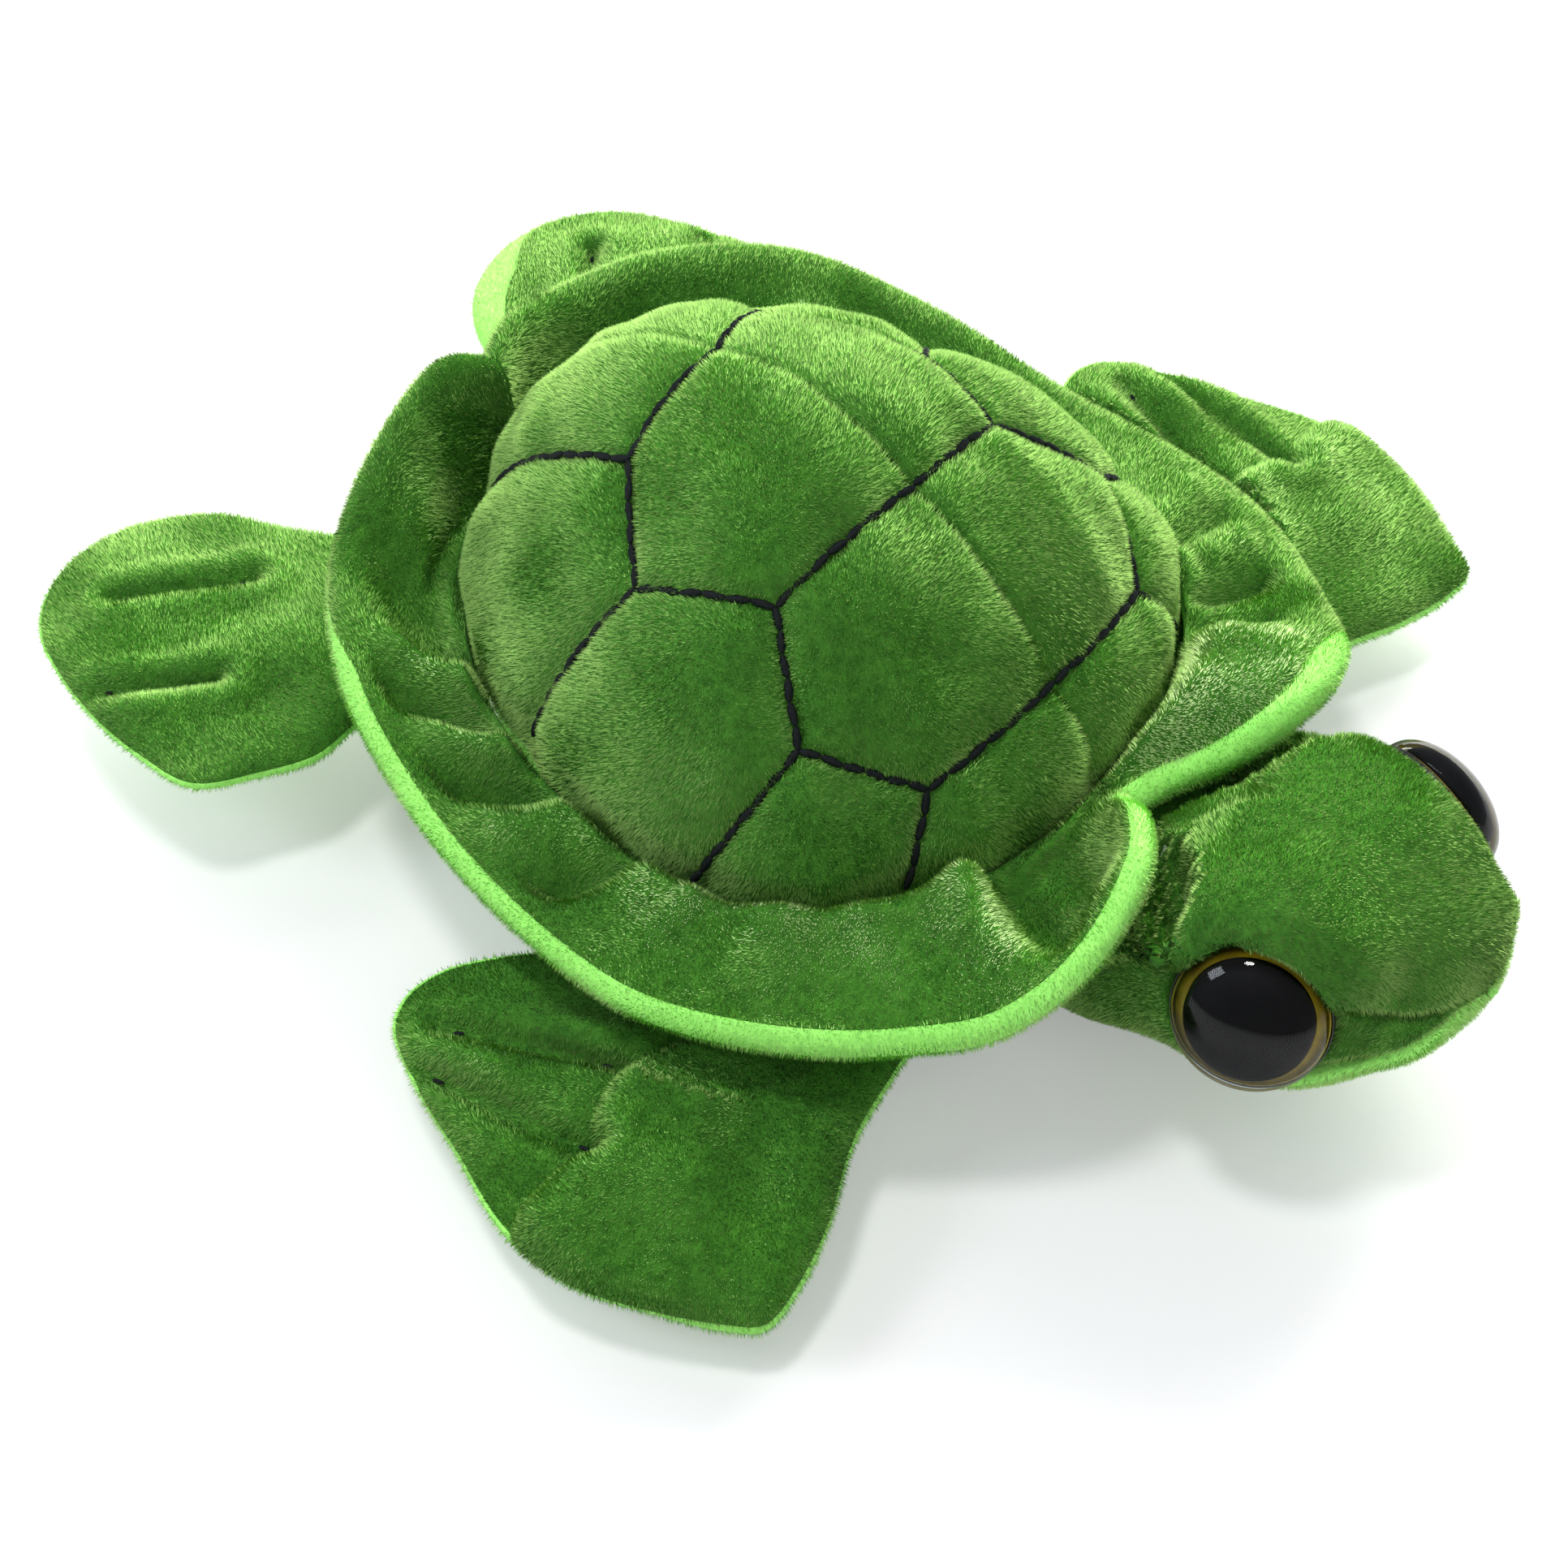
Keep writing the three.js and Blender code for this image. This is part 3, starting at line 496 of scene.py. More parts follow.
def dome_relief(points):
    """Height of the skin over the dome's formula: puffed 1.5 mm away from the lines and less at the
    middle seam, sunk by bells of 1.5 mm at the lines and 1.3 mm at the seam, with soft lumps of the
    filling."""
    to_line, to_seam = distance_to(points, np.concatenate(paths)), distance_to(points, spine)
    puff = 1.5 * (1 - bump(to_line / 6)) * (1 - 0.6 * bump(to_seam / 4))
    return puff - 1.5 * bump(to_line / 1.4) - 1.3 * bump(to_seam / 1.1) + 0.25 * waves(points, 16, 3)


def downhill(normals):
    """Which way the dome's pile lies: down and a little backwards, less its part along the normal."""
    way = np.array([0, 0.4, -1])
    return way - (way * normals).sum(-1, keepdims=True) * normals


def wander(grid, seed, size=22):
    """A soft random vector field, made of three soft random fields."""
    return np.stack([waves(grid, size, seed + k) for k in range(3)], -1)


# %% [markdown]
# ## Dome
#
# Two panels of the toy's plush, sewn together along the middle, make the dome. Each is a half of the
# dome's formula here, a hair apart from the other, and its edge turns in where the rim is sewn on.

# %% Dome halves
HALF_GAP = 0.12
LAID = {"left": 0.9, "right": 0.4}  # how flat each half's pile lies
angle, share = np.meshgrid(np.linspace(0, np.pi, 160), np.sin(np.linspace(0, np.pi / 2, 84)))
# Painted sheen and shade on the pile, in shades: a paler broad bell on the far side and a little paler on the
# near half, and deeper at the front of both
painted_sheen_and_shade = {"left": 1.1 * bump((angle - 1.9) / 0.8) * share**2, "right": 0.2}
for name, side in SIDES.items():
    base = dome_at(*polar(angle, share), SKIN)
    base[..., 0] = np.abs(base[..., 0]) * side + side * HALF_GAP
    away = base - [0, 0, 20]
    edge = 1.4 * step_up((share - 0.975) / 0.025)
    base[..., 2] -= 3 * step_up((share - 0.99) / 0.01)
    grid = base + (dome_relief(base) - edge)[..., None] * outward(base, away)
    comb = LAID[name] * downhill(outward(grid, away)) + 0.25 * wander(grid, 40, 30)
    painted_light = painted_sheen_and_shade[name] - 0.3 * bump((angle - 0.5) / 0.6) * share
    fabric(f"shell_{name}", grid, away, "shell_plush", "body", f"shell_panel_{name}", comb, 100 + side,
           painted_light=painted_light)

# %% [markdown]
# ## Belly
#
# One lime panel closes the body underneath. It is full all round and flat where the toy rests, and a
# seam runs along its middle. Its upper edge sinks in behind the rim.

# %% Belly panel
turns = np.linspace(0, 2 * np.pi, 160, endpoint=False)
angle, share = np.meshgrid(turns, np.sin(np.linspace(0, np.pi / 2, 50)))
grid = belly_at(*polar(angle, share), SKIN)
away = grid - [0, 0, SEAM]
normals = outward(grid, away, ring=True)
seam = distance_to(grid, belly_at(0 * turn, 2 * turn - 1, SKIN))
sink = 0.9 * bump(seam / 1.6) * (grid[..., 2] > 1.2) + 3 * step_up((grid[..., 2] - 25) / 8)
grid = grid - sink[..., None] * normals
fabric("belly", grid, away, "lime_plush", "body", "belly_panel", 0.5 * wander(grid, 50), 120, per_mm2=4.0,
       ring=True, fibre_keep=grid[1:, :, 2] < SEAM - 4)

# %% [markdown]
# ## Rim
#
# A flange of two layers goes round the shell. It curls up at the back and in a lobe beside the
# head, and falls into radial folds along the near side. The lime layer is cut a little larger and
# rolls up round the edge, so it shows as a band from above. Each half of a layer is a section here
# whose reach and lift change with the angle round the shell.

# %% Rim section
RIM_REACH, RIM_LIFT = 26, 30
# Degrees from the front, then reach and lift of the right half and of the left half, as shares
RIM_ROWS = [
    [0, 0.12, 0.07, 0.12, 0.07], [6, 0.28, 0.33, 0.26, 0.13], [12, 0.58, 0.64, 0.52, 0.25],
    [20, 0.94, 0.76, 0.84, 0.52], [30, 1.14, 0.5, 0.93, 0.5], [40, 1.13, 0.22, 0.88, 0.32],
    [50, 1.0, 0.12, 0.86, 0.13], [70, 0.86, 0.08, 0.82, 0.03], [90, 0.82, 0.05, 0.86, 0.0],
    [105, 0.78, 0.08, 0.9, 0.1], [120, 0.76, 0.15, 0.92, 0.42], [135, 0.78, 0.27, 0.98, 0.68],
    [150, 0.7, 0.46, 0.84, 0.78], [165, 0.4, 0.84, 0.5, 0.84], [174, 0.26, 0.96, 0.3, 0.9],
    [180, 0.12, 0.86, 0.12, 0.86],
]
# Folds across the rim's top: degrees from the front, width in degrees, height in mm, lean in degrees
# over the rim's width, and the shares of the width between which it fades in and out again
FOLDS = {
    "right": [(134, 3.0, 4.8, 12, 0.0, 0.95), (127.5, 2.8, -4.6, 12, 0.0, 0.95),
              (121, 3.0, 4.8, 11, 0.0, 0.9), (114.5, 2.8, -4.6, 10, 0.0, 0.9), (107, 4.0, 4.2, 8, 0.0, 1.0),
              (99, 2.4, -4.4, 6, 0.0, 0.9), (86, 3.0, 1.6, 5, 0.0, 0.8), (35, 4.2, 4.4, 6, 0.0, 1.1),
              (27, 3.6, -4.4, 6, 0.0, 1.1), (19, 5.0, -2.6, 3, 0.1, 1.0), (154, 6, 2.4, 10, 0.3, 1.0),
              (144, 4, -2.2, 10, 0.0, 0.9)],
    "left": [(136, 5.0, 2.8, -8, 0.1, 1.0), (127, 3.2, -3.4, -8, 0.0, 0.9), (110, 4.0, 2.4, 4, 0.1, 0.9),
             (101, 3.0, -3.0, 4, 0.0, 0.8), (80, 4.0, 2.2, 5, 0.1, 1.0), (72, 3.0, -2.6, 5, 0.0, 0.9),
             (64, 4.5, 2.4, 6, 0.2, 1.0), (54, 3.5, -4.0, 6, 0.0, 0.9), (42, 3.0, -3.0, 2, 0.0, 0.9)],
}
# How far the rim's top is puffed up: degrees from the front, height in mm, crest as a share of the width
PUFFS = {
    "right": [(0, 0, 0.3), (14, 1, 0.3), (26, 1, 0.2), (32, 4.0, 0.15), (40, 7.4, 0.2), (62, 7.2, 0.2),
              (80, 6.4, 0.22), (92, 6.4, 0.18), (98, 2.4, 0.2), (108, 1.0, 0.3), (135, 1.0, 0.5),
              (155, 2.4, 0.6), (180, 0.5, 0.5)],
    "left": [(0, 1, 0.3), (7, 6, 0.32), (14, 11, 0.34), (28, 12, 0.34), (38, 6, 0.35), (48, 2.5, 0.45),
             (70, 1.5, 0.6), (110, 1.5, 0.6), (150, 2.0, 0.6), (180, 0.5, 0.5)],
}
# Painted sheen on the rim's pile, as shades paler, and painted shade where the shades are below 0: degrees
# from the front, and shades
PAINTED_SHEEN_AND_SHADE = {
    "right": [(0, 0), (8, -0.3), (26, -0.3), (34, 1.3), (42, 0.9), (90, 0.7), (110, 0.2), (180, 0)],
    "left": [(0, 1.2), (8, 2.2), (34, 2.2), (41, 0), (60, 0.2), (180, 0)],
}


def rim_relief(side, angle, place):
    """How far the rim's top stands over its section: a puff that rises by a sine to its crest and
    falls by a cosine to the edge, wavy by about a tenth, and folds, each a bell across its line."""
    name = "right" if side < 0 else "left"
    degrees = np.degrees(angle)
    high, crest = np.moveaxis(smooth_row(PUFFS[name], degrees), -1, 0)
    up = np.sin(np.pi / 2 * np.clip(place / crest, 0, 1))
    down = np.cos(np.pi / 2 * np.clip((place - crest) / (1 - crest), 0, 1))
    relief = high * up * down * (1 + 0.12 * np.sin(11 * angle + 1) + 0.1 * np.sin(23 * angle))
    for at, wide, tall, lean, start, end in FOLDS[name]:
        across = (degrees - at - lean * (place - 0.4)) / wide
        faded = step_up((place - start) / 0.15) * step_up((end - place) / 0.35)
        relief = relief + tall * bump(across) * faded
    return relief


def rim_size(side, angle):
    """Reach and lift of the rim in mm at an angle from the front."""
    rows = smooth_row(RIM_ROWS, np.degrees(angle))
    column = 0 if side < 0 else 2
    return RIM_REACH * rows[..., column], RIM_LIFT * rows[..., column + 1]


def rim_at(side, angle, past, depth):
    """Points of the rim's section. past is the distance beyond its edge in mm, negative towards the
    shell. The section dips by a sine and rises by the power 1.7 of the share of the way out, and
    depth goes down square to it."""
    reach, lift = rim_size(side, angle)
    valley = 3.2 * np.minimum(reach / RIM_REACH, 1)
    place = np.maximum(1 + past / np.hypot(reach, lift), 0)
    slope = lift * 1.7 * place**0.7 - valley * np.pi * np.cos(np.pi * place)
    rise = lift * place**1.7 - valley * np.sin(np.pi * place)
    length = np.hypot(reach, slope)
    out = 0.3 + place * (reach + depth * slope / length)
    across, along = polar(angle, 1.0)
    base = dome_at(across, along)
    way = np.stack([2 * across / SHELL_WIDTH, along / np.where(along < 0, FRONT, REAR)], -1)
    way = unit(way)
    x = side * (base[..., 0] + way[..., 0] * out + 0.15)
    return np.stack([x, base[..., 1] + way[..., 1] * out, SEAM + rise - depth * reach / length], -1)


# The top's section: its row as a share, the place across the rim as a share, and the depth in mm
TOP_ROWS = [[0, 0, 1.6], [0.08, 0.05, 0.8], [0.2, 0.14, -0.4], [0.35, 0.3, 0.4], [0.7, 0.74, 0.7],
            [0.9, 0.93, 0.7], [1, 1, 0.6]]
UNDER_RADIUS = 3.3
# Where on the edge the two layers meet, by degrees from the front: 90 is its top and -90 its underside
MEETING = {"right": [(0, 50), (14, 66), (26, 52), (34, 42), (134, 42), (150, -60), (180, -60)],
           "left": [(0, 60), (8, 76), (30, 76), (42, -60), (180, -60)]}


def rim_grid(side, layer, rows, columns=230):
    """Points of a layer, and how far its relief lifts them. The top layer goes out from the shell and
    over the edge's half turn of UNDER_RADIUS as far as the seam. The other one starts a little under
    it there, goes on round the edge and comes back underneath to the shell. The top's relief fades
    out before the seam."""
    angle, v = np.meshgrid(np.linspace(0, np.pi, columns), np.linspace(0, 1, rows))
    whole = np.hypot(*rim_size(side, angle))
    small = np.minimum(whole / 12, 1)
    seam = np.radians(np.interp(np.degrees(angle), *np.array(MEETING["right" if side < 0 else "left"]).T))
    middle = np.array([-0.8 - UNDER_RADIUS, SKIN + UNDER_RADIUS - 0.3])
    flat = 0.75 if layer == "top" else 0.0
    ends = (np.pi / 2, seam) if layer == "top" else (seam + 0.3, np.radians(-105))
    turn = lerp(*ends, np.clip((v - flat) / (1 - flat if layer == "top" else 0.5), 0, 1))
    radius = UNDER_RADIUS - (0 if layer == "top" else 0.9 * step_up((turn - seam) / 0.3))
    past, depth = (middle[0] + radius * np.cos(turn)) * small, middle[1] - radius * np.sin(turn)
    if layer == "top":
        place, low = np.moveaxis(smooth_row(TOP_ROWS, np.minimum(v / flat, 1)), -1, 0)
        past = np.where(v < flat, -whole + place * (whole + middle[0] * small), past)
        depth = np.where(v < flat, low, depth)
        relief = rim_relief(side, angle, np.clip(1 + past / whole, 0, 1)) * small
        depth = depth - relief * (1 - step_up((v - 0.55) / 0.42))
    else:
        inner = np.clip((v - 0.5) / 0.5, 0, 1)
        past, depth, relief = lerp(past, -whole, inner), lerp(depth, 4.6, step_up(inner)), 0 * inner
    return rim_at(side, angle, past, depth), relief


# %% Rim layers
rim_grids = {}
for name, side in SIDES.items():
    grid, relief = rim_grid(side, "top", 64)
    out = unit(grid * [1, 1, 0] - [0, 8, 0])
    painted_sheen_and_shade = np.interp(np.linspace(0, 180, grid.shape[1]), *np.array(PAINTED_SHEEN_AND_SHADE[name]).T)
    # The top's pile is painted paler on the puffs' crests and raised folds and deeper in the hollows: painted
    # light and painted shade from the relief, on top of the table's painted sheen and shade.
    fabric(f"rim_top_{name}", grid, np.array([0, 0, 1]), "green_plush", "body", f"rim_top_{name}",
           0.7 * out + 0.3 * wander(grid, 60), 140 + side,
           painted_light=np.clip((relief - 1.5) / 2.4, -1.0, 2.2) + painted_sheen_and_shade)

    grid, _ = rim_grid(side, "underside", 44)
    rim_grids[name] = grid
    out = unit(grid * [1, 1, 0] - [0, 8, 0])
    open_rows = np.arange(len(grid) - 1)[:, None] < 0.92 * len(grid)
    fabric(f"rim_underside_{name}", grid, out - [0, 0, 1], "lime_plush", "body", f"rim_underside_{name}",
           0.5 * out + 0.3 * wander(grid, 64), 140 + side, 7.5,
           fibre_keep=open_rows & np.ones(grid.shape[1] - 1, bool))

# %% [markdown]
# ## Room under the rim
#
# The flippers and the back of the head come out from under the rim, and they swing. Each of their
# points is pressed down until it stays clear of the rim's underside at every turn of its joint. Where
# it rests, that ceiling climbs past the rim's edge, so the fabric slopes down to it with no step.

# %% Pressing down under the rim
CELL, CELLS, CLIMB = 1.5, 220, 1.7
NEXT = ((0, 1), (1, 0), (0, -1), (-1, 0), (1, 1), (-1, -1), (1, -1), (-1, 1))
JOINTS = {joint["child"]: joint for joint in frame["joints"]}


def cell_of(points):
    """The map's cell that each point is over: half the cells plus the place over the cell's size."""
    cells = np.round(points[..., :2] / CELL + CELLS / 2).astype(int)
    return tuple(np.moveaxis(np.clip(cells, 0, CELLS - 1), -1, 0))


def lowered(heights, climb):
    """Each cell's own height or, if lower, that of a cell next to it plus climb."""
    return np.min([heights, *(np.roll(heights, shift, (0, 1)) + climb for shift in NEXT)], axis=0)


ceiling = np.full((CELLS, CELLS), 1e3)
for grid in rim_grids.values():
    np.minimum.at(ceiling, cell_of(grid), grid[..., 2])
ceiling = lowered(ceiling, 0)
ramp = ceiling
for _ in range(6):
    ramp = lowered(ramp, CLIMB * CELL)
print("lowest place of the rim's underside, mm:", round(ceiling.min(), 1))


def turned(points, home, axis, angle):
    """Points turned about an axis through home, by Rodrigues' formula."""
    axis = unit(np.asarray(axis, float))
    v = points - home
    along = (v @ axis)[..., None] * axis
    return home + along + (v - along) * math.cos(angle) + np.cross(axis, v) * math.sin(angle)


def tucked(points, body, margin=1.6, turns=6):
    """Points pressed down where they would come nearer to the rim than margin: to the ramp at rest,
    and to the ceiling at even turns of the body's joint through its range."""
    joint = JOINTS[body]
    home, axis = np.asarray(joint["pos_m"], float) / MM, joint["axis"]
    press = np.zeros(points.shape[:-1])
    angles = np.radians(np.linspace(*joint["range_deg"], turns))
    for angle, above in [(0, ramp), *((angle, ceiling) for angle in angles)]:
        moved = turned(points, home, axis, angle)
        press = np.maximum(press, moved[..., 2] + margin - above[cell_of(moved)])
    pressed = points.copy()
    pressed[..., 2] -= press
    return pressed


ABOUT_HALF_WIDTH = 58


def body_depth(points):
    """How deep points are in the body in mm, about: the body's share of the seam's size at their
    height less their own share, times the half width."""
    x, y, z = np.moveaxis(points, -1, 0)
    inside = np.clip((z - SEAM) / DOME, 0, 1) ** (1 / 0.71)
    drop = np.clip((SEAM - z) / BELLY, 0, 1)
    over = z > SEAM
    share = np.where(over, np.sqrt(1 - inside), (1 - drop**2) ** 0.25)
    lean = np.where(over, CROWN_LEAN * inside, BELLY_LEAN * (1 - share**2))
    along = y - WIDEST_Y - lean
    own = np.hypot(x / (SHELL_WIDTH / 2), along / np.where(along < 0, FRONT, REAR))
    return (share - own) * ABOUT_HALF_WIDTH


def outside(grid, depth=2.5, ring=False):
    """Which quads of a grid have a corner less than depth mm inside the body."""
    near = body_depth(grid) < depth
    near = np.concatenate([near, near[:, :1]], 1) if ring else near
    return near[:-1, :-1] | near[1:, :-1] | near[:-1, 1:] | near[1:, 1:]


# %% [markdown]
# ## Head
#
# A blunt head of four panels: the crown, a side panel under each eye, and a lime chin. The seams
# between them meet at the nose, and the plush parts along them. Each panel is a stretch of one form,
# ellipses from the nose to the neck that are flattened where the eyes sit.

# %% Head formulas
HEAD_LENGTH, HEAD_WIDTH, HEAD_HEIGHT, HEAD_Z = 80, 63, 47, 30
NOSE_Y = FRONT_Y - 72.3
# The way back from the nose, and the half width, the top and the underside there, all as shares
HEAD_ROWS = [
    [0, 0.0, 0.07, 0.07], [0.03, 0.2, 0.24, -0.12], [0.12, 0.35, 0.36, -0.29], [0.23, 0.45, 0.44, -0.42],
    [0.35, 0.495, 0.48, -0.48], [0.5, 0.515, 0.43, -0.5], [0.65, 0.52, 0.26, -0.52],
    [0.77, 0.49, 0.02, -0.52], [0.88, 0.43, -0.1, -0.5], [1, 0.36, -0.15, -0.45],
]


def eye_seat(side):
    """Where an eye sits and which way it looks."""
    return np.array([side * 25.4, NOSE_Y + 27.2, HEAD_Z + 3.8]), unit(np.array([side * 0.89, -0.3, 0.34]))


def head_at(angle, back, inset=0.0):
    """Points of the head: ellipses of the table's half width and height at each share of the way
    back, moved back to the plane of each eye's seat where they pass it."""
    wide, top, under = np.moveaxis(smooth_row(HEAD_ROWS, back), -1, 0)
    half_width = np.maximum(HEAD_WIDTH * wide - inset, 0)
    half_height = np.maximum(HEAD_HEIGHT * (top - under) / 2 - inset, 0)
    y = NOSE_Y + HEAD_LENGTH - (HEAD_LENGTH - inset) * (1 - back)
    z = HEAD_Z + HEAD_HEIGHT * (top + under) / 2 + np.cos(angle) * half_height
    points = np.stack([np.sin(angle) * half_width, y, z], -1)
    for side in (1, -1):
        seat, way = eye_seat(side)
        proud = np.maximum((points - seat) @ way + inset, 0)
        points = points - proud[..., None] * way
    return points


def from_eye(points):
    """The distance from the nearer eye's axis, and how much a point lies above it: 1 straight above,
    0 level with it or lower."""
    distance, above = np.full(points.shape[:-1], 99.0), np.zeros(points.shape[:-1])
    for side in (1, -1):
        seat, way = eye_seat(side)
        away = points - seat
        along = (away @ way)[..., None]
        flat = away - along * way
        own = np.where(np.abs(along[..., 0]) < 20, np.linalg.norm(flat, axis=-1), 99)
        rise = unit(flat) @ unit(np.array([0, 0, 1]) - way[2] * way)
        above = np.where(own < distance, step_up((rise - 0.05) / 0.6), above)
        distance = np.minimum(distance, own)
    return distance, above


SOCKET, BROW = 11.7, 13.3  # the bare socket's radius and that of the brow's crest


def head_relief(grid, degrees, back, to_seam):
    """Height of the head's skin over its formula. It sinks by a bell of 1.5 mm at the panel's seams.
    Round each eye stands a bell, 1 mm high and above the eye 6 mm more on the near side or 0.6 on the
    far one, wider outwards there, and cut off at the socket. Soft lumps fade in away from the eyes,
    and behind the crown's far side is a shoulder of 6 mm, where the neck's cloth bunches."""
    socket, above = from_eye(grid)
    brow = 1.0 + np.where(grid[..., 0] < 0, 6.0, 0.6) * above
    slope = np.where(socket < BROW, 2.4, 2.4 + 5.4 * above)
    brow = brow * bump((socket - BROW) / slope) * step_up((socket - SOCKET) / 1.1)
    sink = 1.5 * bump(to_seam / 1.5) * step_up(back / 0.05)
    lumps = 0.3 * waves(grid, 18, 8) * step_up((socket - 14) / 6)
    relief = brow - sink * (1 - above * bump((socket - 14) / 3)) + lumps
    shoulder = 6 * bump((back - 0.75) / 0.13) * step_up(degrees / 50)
    return relief + shoulder * (1 - step_up((degrees - 76) / 40)), socket


# %% Head panels
NECK = ((0, FRONT_Y * MM, 0.019), (0, (FRONT_Y - 16) * MM, 0.019))
CROWN = 64  # the crown's seams, in degrees from the top
# Where the chin's seams run, in degrees from the top, at shares of the way back from the nose
CHIN = [[0, 87], [0.1, 96], [0.25, 106], [0.4, 117], [0.6, 126], [1, 130]]
CROWN_NAP, SIDE_NAP = np.array([-0.4, -0.8, -0.2]), np.array([0, 1, -0.2])
PANELS = {"head_crown": 150, "head_side_left": 60, "head_side_right": 60, "head_chin": 90}
for name, columns in PANELS.items():
    u, v = np.meshgrid(np.linspace(0, 1, columns), np.linspace(0, 1, 120))
    back = v**1.5
    chin = smooth_row(CHIN, back)[..., 0]
    start, end = {
        "head_crown": (-CROWN + 0 * chin, CROWN), "head_side_left": (CROWN, chin),
        "head_side_right": (-chin, -CROWN), "head_chin": (chin, 360 - chin),
    }[name]
    slot = "lime_plush" if name == "head_chin" else "green_plush"
    angle = np.radians(lerp(start, end, u))
    degrees = np.degrees(angle)
    to_seam = np.radians(np.minimum(degrees - start, end - degrees)) * 26 * np.minimum(back / 0.12, 1) ** 0.5
    grid = head_at(angle, back, SKIN)
    away = grid - [0, NOSE_Y + 40, HEAD_Z - 3]
    relief, socket = head_relief(grid, degrees, back, to_seam)
    grid = tucked(grid + relief[..., None] * outward(grid, away), "head")
    comb = 0.8 * (CROWN_NAP if name == "head_crown" else SIDE_NAP) + 0.3 * wander(grid, 70)
    # The crown's pile is painted deeper, painted shade, and the other panels' a little paler, painted sheen.
    fabric(name, grid, away, slot, "head", name, comb, 160 + columns,
           per_mm2=12.0 if slot == "green_plush" else 9.0, keep=outside(grid), between=NECK,
           fibre_keep=(socket > SOCKET)[:-1, :-1] & outside(grid, 1.0),
           painted_light=-0.9 if name == "head_crown" else 0.3)

# %% [markdown]
# ## Eyes
#
# Safety eyes: a clear dome over an amber ring and a raised black button, on a black back whose post
# goes through the fabric into a lock washer. The fabric above each eye bulges over its upper edge.
# Each part is a profile turned about the eye's axis. The dome lets light straight through and
# mirrors more of it towards its edge, because real refraction gives a dotted noise in a render.

# %% Eye finishes
amber = mottle(material("amber_iris", (200, 172, 20), 0.4), (176, 146, 12), (216, 188, 34), 3, 0.05)
pupil_black = dull(mottle(material("pupil_black", (5, 5, 6), 0.6), (3, 3, 4), (7, 7, 8), 3), 0.1)
back_black = mottle(material("eye_back_black", (14, 14, 16), 0.4), (10, 10, 11), (22, 22, 24), 2, 0.05)
white = material("washer_white", (226, 226, 222), 0.5)
washer_white = mottle(white, (214, 214, 210), (236, 236, 232), 3, 0.05)

kinds = ("MixShader", "BsdfTransparent", "BsdfGlossy", "Fresnel")
lens_clear, links, output, mix, see, shine, edge = plain_nodes("clear_dome", *kinds)
see.inputs["Color"].default_value = (0.78, 0.8, 0.82, 1)
shine.inputs["Roughness"].default_value = 0.03
edge.inputs["IOR"].default_value = 1.32
for source, socket in zip((edge, see, shine), mix.inputs):
    links.new(source.outputs[0], socket)
links.new(mix.outputs[0], output.inputs["Surface"])

lens_base, links, output, see = plain_nodes("clear_base", "BsdfTransparent")
links.new(see.outputs[0], output.inputs["Surface"])


# %% Eye parts
def turned_piece(name, profile, side, finishes, index=None, steps=96):
    """A closed profile of radius and height over the seat, turned about the eye's axis. index says
    which finish each step of the profile has."""
    seat, way = eye_seat(side)
    first = unit(np.cross(way, [0, 0, 1]))
    second = np.cross(way, first)
    angle = np.linspace(0, 2 * np.pi, steps, endpoint=False)
    ring = np.cos(angle)[:, None] * first + np.sin(angle)[:, None] * second
    profile = np.asarray(profile, float)
    grid = seat + profile[:, None, :1] * ring + profile[:, None, 1:] * way
    index = None if index is None else np.repeat(index, steps)
    return new_piece(name, grid, grid_faces(len(profile), steps, ring=True), finishes, index, weld=True)


def rounded(corners, radius=0.25, steps=4):
    """A profile with its inner corners rounded: each corner is cut by radius and joined by the curve
    (1 - t) squared of one cut, 2 t (1 - t) of the corner and t squared of the other cut."""
    corners = np.asarray(corners, float)
    out = [corners[:1]]
    for a, b, c in zip(corners[:-2], corners[1:-1], corners[2:]):
        r = min(radius, np.linalg.norm(b - a) * 0.45, np.linalg.norm(c - b) * 0.45)
        start, end = b + unit(a - b) * r, b + unit(c - b) * r
        t = np.linspace(0, 1, steps + 1)[:, None]
        out.append((1 - t) ** 2 * start + 2 * t * (1 - t) * b + t**2 * end)
    return np.concatenate([*out, corners[-1:]])


half = np.linspace(0, np.pi / 2, 26)
outside_dome = np.stack([12.1 * np.cos(half), 2.7 + 6.9 * np.sin(half)], -1)
inside_dome = np.stack([11.5 * np.sin(half), 2.7 + 6.4 * np.cos(half)], -1)
pupil_dome = np.stack([9.6 * np.cos(half) + 1.2 * np.sin(2 * half), 2.4 + 6.3 * np.sin(half)], -1)
ring_section = [[9.8, 1.6], [12, 1.6], [12, 2.4], [9.8, 2.4], [9.8, 1.6]]
back_section = [
    [0, -11], [2.5, -11], [2.5, 0.3], [12.4, 0.3], [12.4, 2.2], [12.1, 2.2], [12.1, 1.3], [0, 1.3],
]
washer_section = [[2.8, -3.6], [8, -3.6], [8, -2.1], [2.8, -2.1], [2.8, -3.6]]
# The dome's inner side and its base have only the see-through finish
lens_index = np.arange(2 * len(half) - 1) < len(inside_dome)
EYE_PARTS = {
    "lens": ([*inside_dome, *outside_dome], "eye_lens", [lens_clear, lens_base], lens_index),
    "iris": (rounded(ring_section), "eye_iris", [amber], None),
    "pupil": ([[0, 2.45], [9.5, 2.45], *pupil_dome[1:]], "eye_black", [pupil_black], None),
    "back": (rounded(back_section), "eye_black", [back_black], None),
    "washer": (rounded(washer_section), "eye_washer", [washer_white], None),
}
for name, side in SIDES.items():
    for part, (profile, slot, finishes, index) in EYE_PARTS.items():
        made = turned_piece(f"eye_{part}_of_{name}", profile, side, finishes, index)
        dress(made, "head", f"eye_{part}_{name}")
print("eyes", 2 * max(back_section)[0], "mm across")

